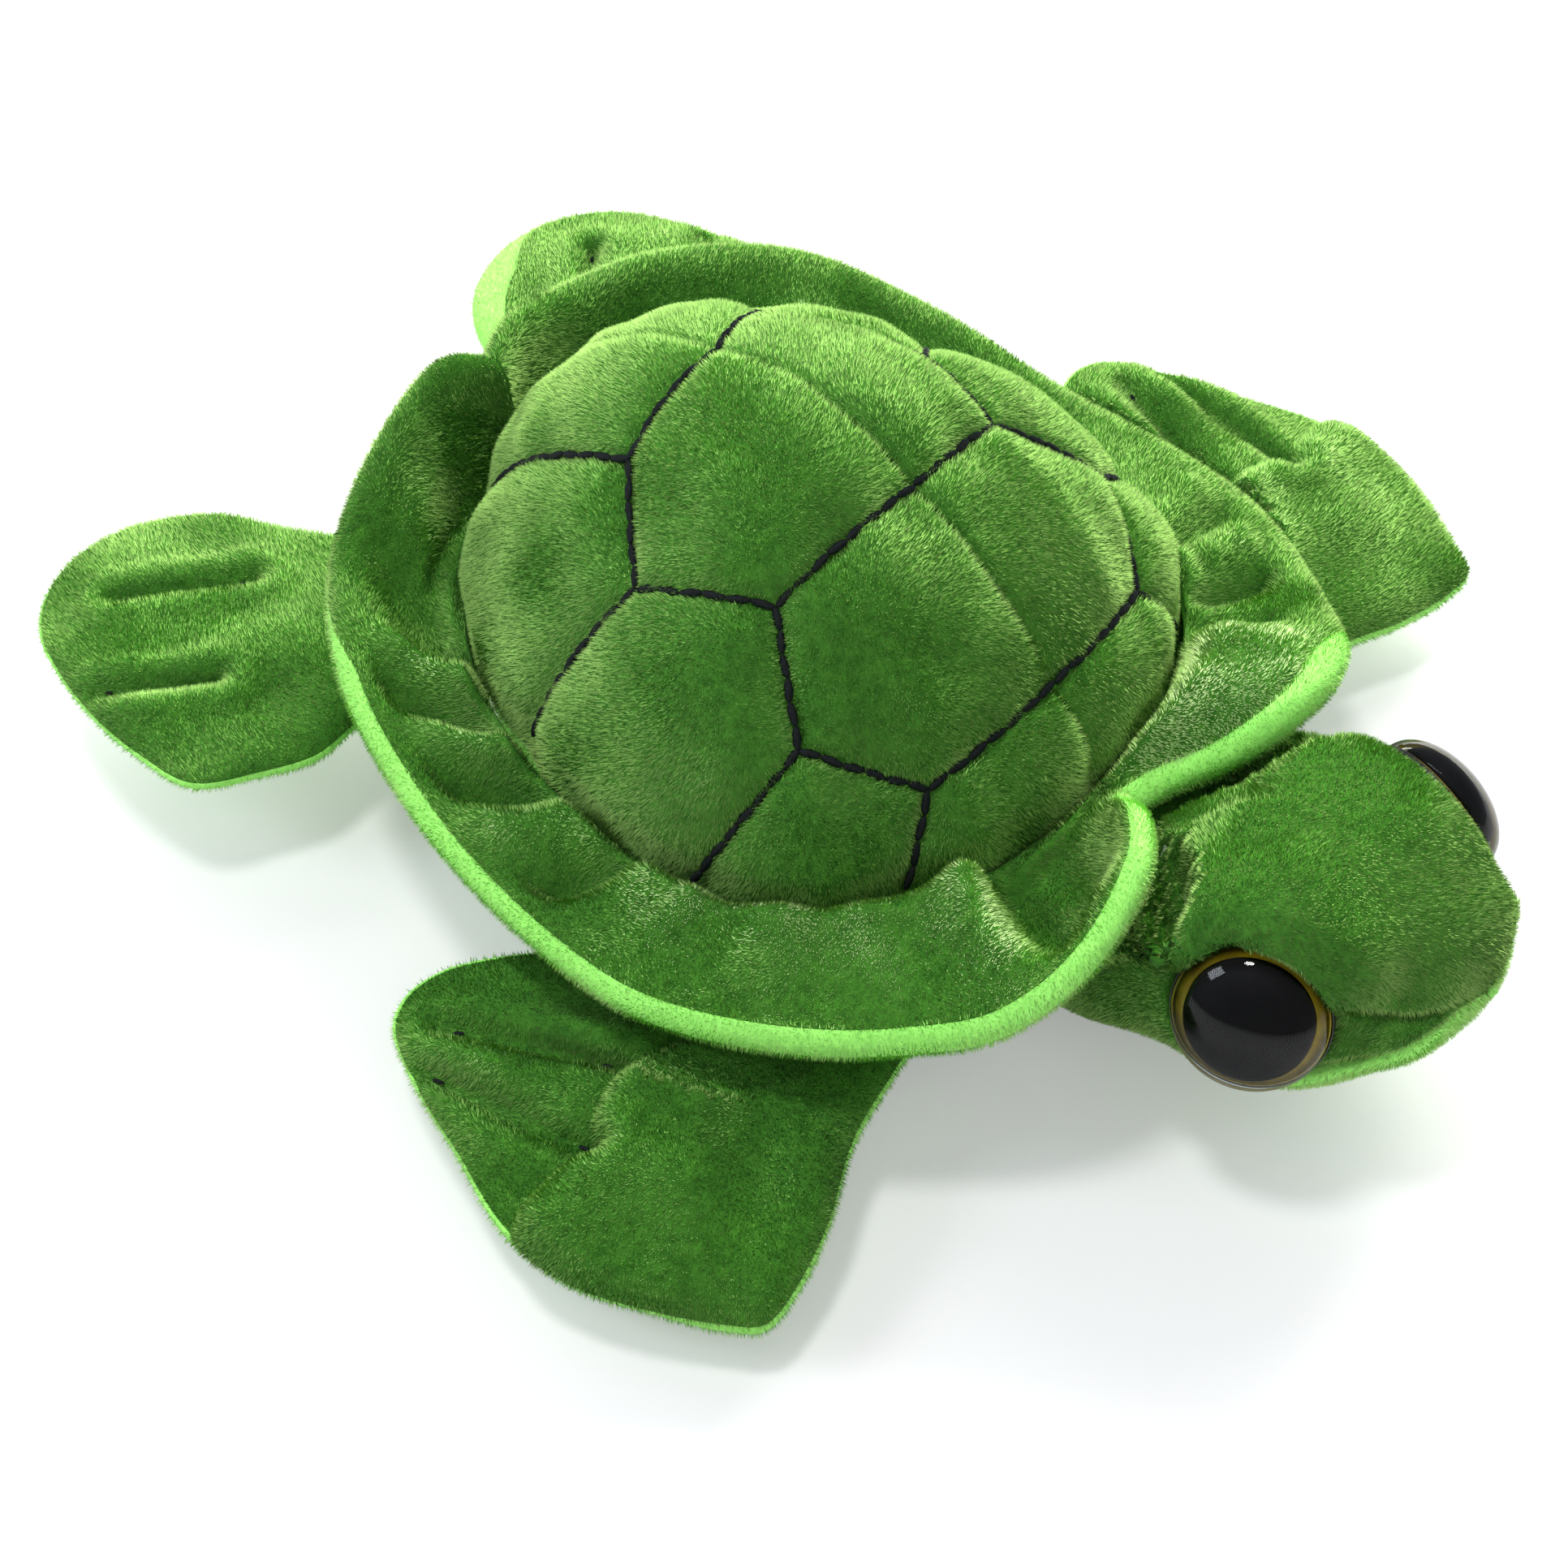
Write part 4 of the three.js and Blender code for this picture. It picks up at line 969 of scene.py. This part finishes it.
# %% [markdown]
# ## Flippers
#
# Each flipper is a flat bag of green over lime with a little filling. The front one is a puffed
# arm with a thinner hand that bends back from it, and rows of stitches mark both hands. A flipper is
# drawn flat, as the pattern is, puffed up over its outline and turned to its place.

# %% Flipper patterns
# Sizes in mm and angles in degrees. The outline, the middle and the ends of the stitches are shares of
# the length, in the pattern's plane, and thin is the thickness at the tip as a share of that at the root.
FLIPPERS = {
    "front_flipper": dict(
        length=66, thickness=15, thin=0.62, tip=(0, 1), hinge=(SHELL_WIDTH / 2 - 8.7, FRONT_Y + 22.6, 16),
        yaw=32.7, droop={"right": 6, "left": 3}, twist={"right": -1, "left": 11}, centre=(0.4, 0.26),
        stitches=[(0.25, 0.84, 0.35, 0.38), (0.38, 0.86, 0.59, 0.41)],
        outline=[(-0.13, 0), (-0.11, -0.22), (0.05, -0.36), (0.28, -0.27), (0.48, -0.19), (0.71, -0.15),
                 (0.87, -0.1), (0.98, -0.03), (0.99, 0.06), (0.96, 0.24), (0.91, 0.43), (0.79, 0.61),
                 (0.59, 0.76), (0.37, 0.92), (0.24, 0.98), (0.14, 0.96), (0.06, 0.88), (0.01, 0.75),
                 (-0.02, 0.58), (-0.04, 0.42), (-0.1, 0.22)],
    ),
    "hind_flipper": dict(
        length=81, thickness=13, thin=0.6, tip=(1, 0), hinge=(24, -FRONT_Y - 9.6, 17), yaw=-48.6,
        droop={"right": -5, "left": -8}, twist={"right": 0, "left": 0}, centre=(0.5, -0.06),
        stitches=[(0.52, 0.12, 0.81, 0.05), (0.57, -0.21, 0.82, -0.24)],
        outline=[(-0.08, 0), (-0.06, 0.13), (0.06, 0.22), (0.28, 0.29), (0.46, 0.34), (0.61, 0.38),
                 (0.74, 0.37), (0.87, 0.3), (0.95, 0.2), (0.99, 0.06), (0.98, -0.05), (0.94, -0.14),
                 (0.85, -0.28), (0.73, -0.41), (0.6, -0.5), (0.45, -0.46), (0.34, -0.41), (0.22, -0.27),
                 (0.06, -0.27), (-0.05, -0.16)],
    ),
}


def closed_curve(corners, count):
    """A closed curve through corners: a Catmull-Rom spline whose knots are apart by the root of the
    distance, taken again at even steps of its length."""
    p = np.asarray(corners, float)
    p0, p1, p2, p3 = (np.roll(p, k, 0)[:, None] for k in (1, 0, -1, -2))
    spans = (p1 - p0, p2 - p1, p3 - p2)
    d0, d1, d2 = (np.sqrt(np.linalg.norm(span, axis=-1, keepdims=True)) for span in spans)
    t = np.linspace(0, 1, 40, endpoint=False)[None, :, None]
    m1 = ((p1 - p0) / d0 - (p2 - p0) / (d0 + d1) + (p2 - p1) / d1) * d1
    m2 = ((p2 - p1) / d1 - (p3 - p1) / (d1 + d2) + (p3 - p2) / d2) * d1
    curve = p1 + m1 * t + (3 * (p2 - p1) - 2 * m1 - m2) * t**2 + (2 * (p1 - p2) + m1 + m2) * t**3
    curve = curve.reshape(-1, 2)
    loop = np.concatenate([curve, curve[:1]])
    length = np.concatenate([[0], np.cumsum(np.linalg.norm(np.diff(loop, axis=0), axis=1))])
    at = np.linspace(0, length[-1], count, endpoint=False)
    return np.stack([np.interp(at, length, loop[:, k]) for k in (0, 1)], -1)


def to_line(points, line):
    """The distance in plan from a line of two or more corners, and the side of it: 1 on its left."""
    best, hand = np.full(points.shape[:-1], 1e9), np.zeros(points.shape[:-1])
    for a, b in zip(line[:-1], line[1:]):
        way = b - a
        t = np.clip(((points[..., :2] - a) @ way) / (way @ way), 0, 1)
        away = points[..., :2] - a - t[..., None] * way
        distance = np.linalg.norm(away, axis=-1)
        hand = np.where(distance < best, np.sign(way[0] * away[..., 1] - way[1] * away[..., 0]), hand)
        best = np.minimum(best, distance)
    return best, hand


# Where the front flipper's arm lies over its hand, as shares of the length
CREASE = [(0.26, 0.1), (0.27, 0.24), (0.34, 0.33), (0.43, 0.39), (0.52, 0.42), (0.58, 0.41), (0.65, 0.48),
          (0.72, 0.55), (0.84, 0.6)]
COLUMNS = 170


def flipper_frame(shape, name, side):
    """The turn of a flipper from its own plane to its place: yaw about z, droop about y, twist about x."""
    yaw = -shape["yaw"] if side > 0 else 180 + shape["yaw"]
    turns = ((yaw, "Z"), (shape["droop"][name], "Y"), (side * shape["twist"][name], "X"))
    matrix = Matrix.Identity(3)
    for degrees, axis in turns:
        matrix = matrix @ Matrix.Rotation(math.radians(degrees), 3, axis)
    x, y, z = shape["hinge"]
    return np.array([side * x, y, z]), np.array(matrix)


def flipper_grid(shape, latitudes, inset=SKIN, columns=COLUMNS):
    """Rings from the middle of a flipper's face at latitude 0 over its edge at 0.5 to the other face
    at 1: the share of the way out is sin(pi latitude), and the height is the half thickness, thinner
    towards the tip, times the root of 1 less the cube of that share."""
    length = shape["length"]
    outline = closed_curve(np.multiply(shape["outline"], length), columns)
    tangent = unit(np.roll(outline, -1, 0) - np.roll(outline, 1, 0))
    x, y = outline.T
    turn = np.sign((x * np.roll(y, -1) - np.roll(x, -1) * y).sum())
    outline = outline + inset * turn * np.stack([-tangent[:, 1], tangent[:, 0]], -1)
    latitudes = np.reshape(latitudes, (len(latitudes), -1))
    share = np.sin(np.pi * latitudes)[..., None]
    centre = np.multiply(shape["centre"], length)
    plan = lerp(centre, outline[None], share)
    towards = np.clip((plan @ np.array(shape["tip"])) / length, 0, 1)
    half = np.maximum(shape["thickness"] / 2 * lerp(1, shape["thin"], towards) - inset, 0)
    up = np.sign(0.5 - latitudes)
    z = up * half * np.sqrt(np.maximum(1 - share[..., 0] ** 3, 0))
    return np.concatenate([plan, z[..., None]], -1)


def flipper_relief(shape, grid, fold):
    """Grooves along the stitches, puffed up beside them, and lumps of filling. On the front flipper
    the arm lies over the hand: it rises from the crease by 1 less e to the power of minus a third of
    the distance, falls off again by a bell of 30 mm, and the hand sinks at the crease. Nothing sinks
    by more than 0.55 of the height over the middle."""
    length, height = shape["length"], grid[..., 2]
    relief = 0.5 * waves(grid * [1, 1, 0], 24, 21)
    if shape is FLIPPERS["front_flipper"]:
        near, hand = to_line(grid, np.multiply(CREASE, length))
        reach = step_up(grid[..., 1] / (0.2 * length))
        arm = 5.2 * (1 - np.exp(-near / 3)) * bump(near / 30) - 0.6 * bump(near / 1.2)
        relief = relief + fold * np.where(hand < 0, arm * reach, (-0.9 - 1.2 * bump(near / 4)) * reach)
    for stitch in shape["stitches"]:
        line = np.multiply(np.reshape(stitch, (2, 2)), length)
        near = to_line(grid, line)[0]
        relief = relief - 3.2 * bump(near / 1.5) + 1.5 * bump((near - 4.8) / 3)
    return np.maximum(relief * np.minimum(np.abs(height) / 3, 1), -0.55 * height)


def place_flipper(grid, home, matrix, side):
    """From the flipper's own plane, drawn for the left side, to its place."""
    return home + (grid * [1, side, 1]) @ matrix.T


def bent(home, matrix):
    """The two places, in metres, between which a flipper's cloth goes over from the body to it."""
    return (home - 2 * matrix[:, 0]) * MM, (home + 16 * matrix[:, 0]) * MM


# %% Flipper panels
MEETING_LATITUDE = 0.455  # where green and lime meet, a little above the edge
FOLDED = {"left": 0.6, "right": 1.0}  # how strongly the front flippers fold at the crease
FLIPPER_NAP = {"left": 0.6, "right": 0.4}
seed, hands = 200, {}
for kind, shape in FLIPPERS.items():
    for name, side in SIDES.items():
        home, matrix = flipper_frame(shape, name, side)
        body = f"{kind}_{name}"
        out = matrix[:, 0]
        meeting = np.full(COLUMNS, MEETING_LATITUDE)
        if body == "hind_flipper_left":
            edge = flipper_grid(shape, np.array([0.5]))[0, :, 1]
            meeting -= 0.15 * step_up(edge / 14 - 0.9)  # its lime side rolls up over this edge
        for layer, slot, latitudes, per_mm2 in (
            ("top", "green_plush", np.linspace(0 * meeting, meeting, 54), 12.0),
            ("underside", "lime_plush", np.linspace(0 * meeting + 1, meeting, 44), 5.0),
        ):
            top = layer == "top"
            way = matrix[:, 2] * (1 if top else -1)
            flat = flipper_grid(shape, latitudes)
            grid = place_flipper(flat, home, matrix, side)
            relief = 0 * flat[..., 2]
            if top:
                relief = flipper_relief(shape, flat, FOLDED[name])
                grid = grid + relief[..., None] * outward(grid, way, ring=True)
            grid = tucked(grid, body)
            if top:
                hands[body] = flat, grid, outward(grid, way, ring=True)
            # The pile is painted deeper in the stitches' grooves and on the hand at the crease and paler on
            # the puffs and the arm, painted shade and light from the relief; the right hind flipper's pile is
            # painted deeper throughout, and the others' a little paler.
            fabric(
                f"{body}_{layer}", grid, way, slot, body, f"{body}_{layer}",
                FLIPPER_NAP[name] * out + 0.25 * wander(grid, 80, 30), seed, per_mm2,
                keep=outside(grid, ring=True), ring=True, between=bent(home, matrix),
                fibre_keep=outside(grid, 1.0, ring=True), ribs=out,
                painted_light=np.clip(relief / 3, -1.1, 0.9) + (-0.5 if body == "hind_flipper_right" else 0.1),
            )
            seed += 10

# %% [markdown]
# ## Thread
#
# The scute lines are rows of long satin stitches, each a slim bead pulled tight at both ends, lying
# in its groove. The thread of the flippers has sunk into the plush, so only parts of it show.

# %% Thread
def bead(length, radius, steps=18, sides=8, plies=3):
    """One stitch along x: a tube whose radius goes with the root of 1 less the power 2.4 of the share
    from its middle, with slight ridges of twisted plies."""
    t = np.linspace(-1, 1, steps)[:, None]
    angle = np.linspace(0, 2 * np.pi, sides, endpoint=False)[None]
    wide = radius * np.sqrt(np.maximum(1 - np.abs(t) ** 2.4, 0)) * (1 + 0.07 * np.cos(plies * angle + 7 * t))
    x = np.broadcast_to(t * length / 2, wide.shape)
    return np.stack([x, wide * np.cos(angle), 0.8 * wide * np.sin(angle)], -1)


def beads(name, places, ways, ups, lengths, radius):
    """Copies of one stitch at places, each along its way with its up side up, as one piece."""
    ways, ups = unit(ways), unit(ups)
    across = unit(np.cross(ups, ways))
    ups = np.cross(ways, across)
    turn = np.stack([ways, across, ups], 1)
    shape = bead(1.0, 1.0)
    scale = np.stack([lengths, np.full(len(lengths), radius), np.full(len(lengths), radius)], -1)
    points = places[:, None] + np.einsum("kni,kij->knj", shape.reshape(1, -1, 3) * scale[:, None], turn)
    faces = grid_faces(*shape.shape[:2], ring=True)
    faces = (np.arange(len(places))[:, None, None] * shape[..., 0].size + faces).reshape(-1, 4)
    return new_piece(name, points, faces, [thread], weld=True)


# %% Scute stitches
STITCH, STITCH_RADIUS, STITCH_DEPTH = 4.0, 0.68, 1.15
places, ways, ups, lengths = [], [], [], []
for path in paths:
    length = np.concatenate([[0], np.cumsum(np.linalg.norm(np.diff(path, axis=0), axis=1))])
    count = max(round(length[-1] / STITCH), 2)
    for k in range(count):
        at = (k + 0.5) * length[-1] / count
        ends = [np.array([np.interp(at + s, length, path[:, c]) for c in range(3)]) for s in (-1.5, 1.5)]
        middle = np.mean(ends, 0)
        across, along = dome_under(middle[0], middle[1])
        near = [dome_at(across + a, along + b) for a, b in ((0.01, 0), (0, 0.01), (0, 0))]
        up = unit(np.cross(near[0] - near[2], near[1] - near[2]))
        places.append(middle - STITCH_DEPTH * up)
        ways.append(unit(ends[1] - ends[0]) + 0.1 * (-1) ** k * np.cross(up, unit(ends[1] - ends[0])))
        ups.append(up)
        lengths.append(length[-1] / count + 0.1)
fields = (np.array(field) for field in (places, ways, ups, lengths))
dress(beads("scute_thread", *fields, STITCH_RADIUS), "body", "scute_embroidery")
print(len(places), "stitches on the shell")

# %% Flipper stitches
# Six stitches make a line. Its two end ones are short and lie on the skin, the others are sunk in it
share = (np.arange(6) + 0.5) / 6
at_end = np.abs(share - 0.5) > 0.4
lift, part = np.where(at_end, 0.55, -0.4)[:, None], np.where(at_end, 0.4, 0.95)
for kind, shape in FLIPPERS.items():
    for body in (f"{kind}_{name}" for name in SIDES):
        flat, grid, normals = (field.reshape(-1, 3) for field in hands[body])
        for number, stitch in enumerate(shape["stitches"], 1):
            start, end = np.multiply(np.reshape(stitch, (2, 2)), shape["length"])
            spots = lerp(start, end, share[:, None])
            near = [np.linalg.norm(flat[:, :2] - spot, axis=1).argmin() for spot in spots]
            way, up = np.gradient(grid[near], axis=0), normals[near]
            sizes = np.linalg.norm(way, axis=1) * part
            made = beads(f"{body}_thread_{number}", grid[near] + lift * up, way, up, sizes, 0.36)
            dress(made, body, f"{body}_stitch_{number}")

# %% [markdown]
# ## Filling
#
# Loose polyester fibre fills every bag. It doesn't show, but it is what the CAD's filling nodes
# stand for, so each gets its own soft closed form just under the fabric.

# %% Filling
INNER = 2.9  # how far the body's filling lies inside the CAD's surface


def filling(name, form, thickness, between):
    """A soft skin of filling: a ring grid's wall, less what lies inside the body."""
    wall = walled(form, grid_normals(form, True), thickness, outside(form, 1.0, ring=True), True)
    made = new_piece(f"{name}_filling", *wall, [fill], weld=True)
    dress(made, name, f"{name}_stuffing", between)


angle, v = np.meshgrid(np.linspace(0, 2 * np.pi, 96, endpoint=False), np.linspace(0, 1, 60))
share = np.sin(np.minimum(2 * v, 2 - 2 * v) * np.pi / 2)
lower, upper = belly_at(*polar(angle, share), INNER), dome_at(*polar(angle, share), INNER + 1.6)
form = np.where((v < 0.5)[..., None], lower, upper)
body_fill = new_piece("body_filling", form, grid_faces(*v.shape, ring=True), [fill], weld=True)
dress(body_fill, "body", "body_stuffing")

angle, v = np.meshgrid(np.linspace(0, 2 * np.pi, 80, endpoint=False), np.linspace(0, 1, 60))
form = tucked(head_at(angle, np.minimum(v / 0.9, 1) ** 1.5, INNER + 1.6), "head", 6)
form = lerp(form, form[-1].mean(0), np.clip((v - 0.9) / 0.1, 0, 1)[..., None])
filling("head", form, 1.0, NECK)

for kind, shape in FLIPPERS.items():
    for name, side in SIDES.items():
        home, matrix = flipper_frame(shape, name, side)
        form = flipper_grid(shape, np.linspace(0, 1, 50), INNER + 1.4, 90)
        form[..., 2] *= np.where(form[..., 2] > 0, 0.35, 1)
        form = tucked(place_flipper(form, home, matrix, side), f"{kind}_{name}", 4.6)
        filling(f"{kind}_{name}", form, 0.8, bent(home, matrix))
print("pieces so far:", len(dressed))

# %% [markdown]
# ## Floor, light and camera
#
# A pale sheet under the toy, a broad lamp behind it to the camera's right that gives the soft shadow,
# two weak ones that fill in, and two small ones that make the glints in the eyes. The camera stands at
# the angle from which the toy was photographed.

# %% Floor
FLOOR, FLOOR_GLOW, FLOOR_SIZE = 0.76, 0.3, 3000
kinds = ("MixShader", "LightPath", "BsdfDiffuse", "Emission", "Math")
floor_finish, links, output, mixer, seen, sheet, glow, look = plain_nodes("pale_floor", *kinds)
sheet.inputs["Color"].default_value = (FLOOR, FLOOR, FLOOR, 1)
glow.inputs["Color"].default_value = (1, 1, 1, 1)
look.operation = "MULTIPLY"
look.inputs[1].default_value = FLOOR_GLOW  # the camera alone sees the sheet this much paler
links.new(seen.outputs["Is Camera Ray"], look.inputs[0])
for source, socket in zip((look, sheet, glow), mixer.inputs):
    links.new(source.outputs[0], socket)
links.new(mixer.outputs[0], output.inputs["Surface"])
corners = FLOOR_SIZE * np.array([[-1, -1, 0], [1, -1, 0], [1, 1, 0], [-1, 1, 0]])
new_piece("floor", corners, np.array([[0, 1, 2, 3]]), [floor_finish])

# %% Light
world = bpy.data.worlds.new("studio")
world.use_nodes = True
bpy.context.scene.world = world
world.node_tree.nodes["Background"].inputs["Color"].default_value = (0.35, 0.36, 0.38, 1)
world.node_tree.nodes["Background"].inputs["Strength"].default_value = 1.0


def placed(name, data, place, right, back):
    """A lamp or camera at place in metres that looks away from back, with its right side to right."""
    thing = bpy.data.objects.new(name, data)
    bpy.context.scene.collection.objects.link(thing)
    axes = Matrix(np.stack([right, np.cross(back, right), back], -1))
    thing.matrix_world = Matrix.Translation(place) @ axes.to_4x4()
    return thing


def area_light(name, place, size, watts, colour=(1, 1, 1), shape="SQUARE"):
    """An area lamp of a size in metres, turned to the middle of the toy."""
    lamp = bpy.data.lights.new(name, "AREA")
    lamp.energy, lamp.size, lamp.color, lamp.shape = watts, size, colour, shape
    back = unit(np.array(place) - [0, 0, 0.03])
    return placed(name, lamp, place, unit(np.cross([0, 0, 1], back)), back)


for lamp in (
    area_light("key", (1.05, 0.3, 0.62), 0.9, 42, (1, 0.99, 0.96)),
    area_light("back", (0.1, 1.1, 0.7), 0.8, 7),
    area_light("front", (-0.5, -0.8, 0.9), 0.8, 4),
):
    lamp.visible_glossy = False
area_light("window", (-0.62, 0.6, 0.68), 0.34, 4, (0.85, 0.92, 1))
area_light("dot", (-0.147, 0.101, 0.914), 0.17, 4, shape="DISK")

# %% Camera
# Solved from the shell's outline in the photo: angles in degrees, lengths in mm, focal length in pixels
TURN, TILT, ROLL = (math.radians(v) for v in (-50.2, 46.1, -1.2))
AIM, DISTANCE, FOCAL, PHOTO_WIDTH, SENSOR = np.array([0, 4.18, -10.15]), 516.4, 3460, 1932, 36
back = np.array([math.sin(TURN) * math.cos(TILT), -math.cos(TURN) * math.cos(TILT), math.sin(TILT)])
level = np.array([math.cos(TURN), math.sin(TURN), 0])
right = math.cos(ROLL) * level + math.sin(ROLL) * np.cross(back, level)
lens = bpy.data.cameras.new("camera")
lens.sensor_width, lens.lens = SENSOR, SENSOR * FOCAL / PHOTO_WIDTH
camera = placed("camera", lens, (AIM + DISTANCE * back) * MM, right, back)
bpy.context.scene.camera = camera
bpy.context.scene.view_settings.view_transform = "Standard"
print("camera", [round(v, 3) for v in camera.matrix_world.translation], "m")

# %% Sizes, then finish
triangles = {thing.name: sum(len(face.vertices) - 2 for face in thing.data.polygons) for thing in dressed}
print("triangles:", sum(triangles.values()), "most:", max(triangles.items(), key=lambda item: item[1]))
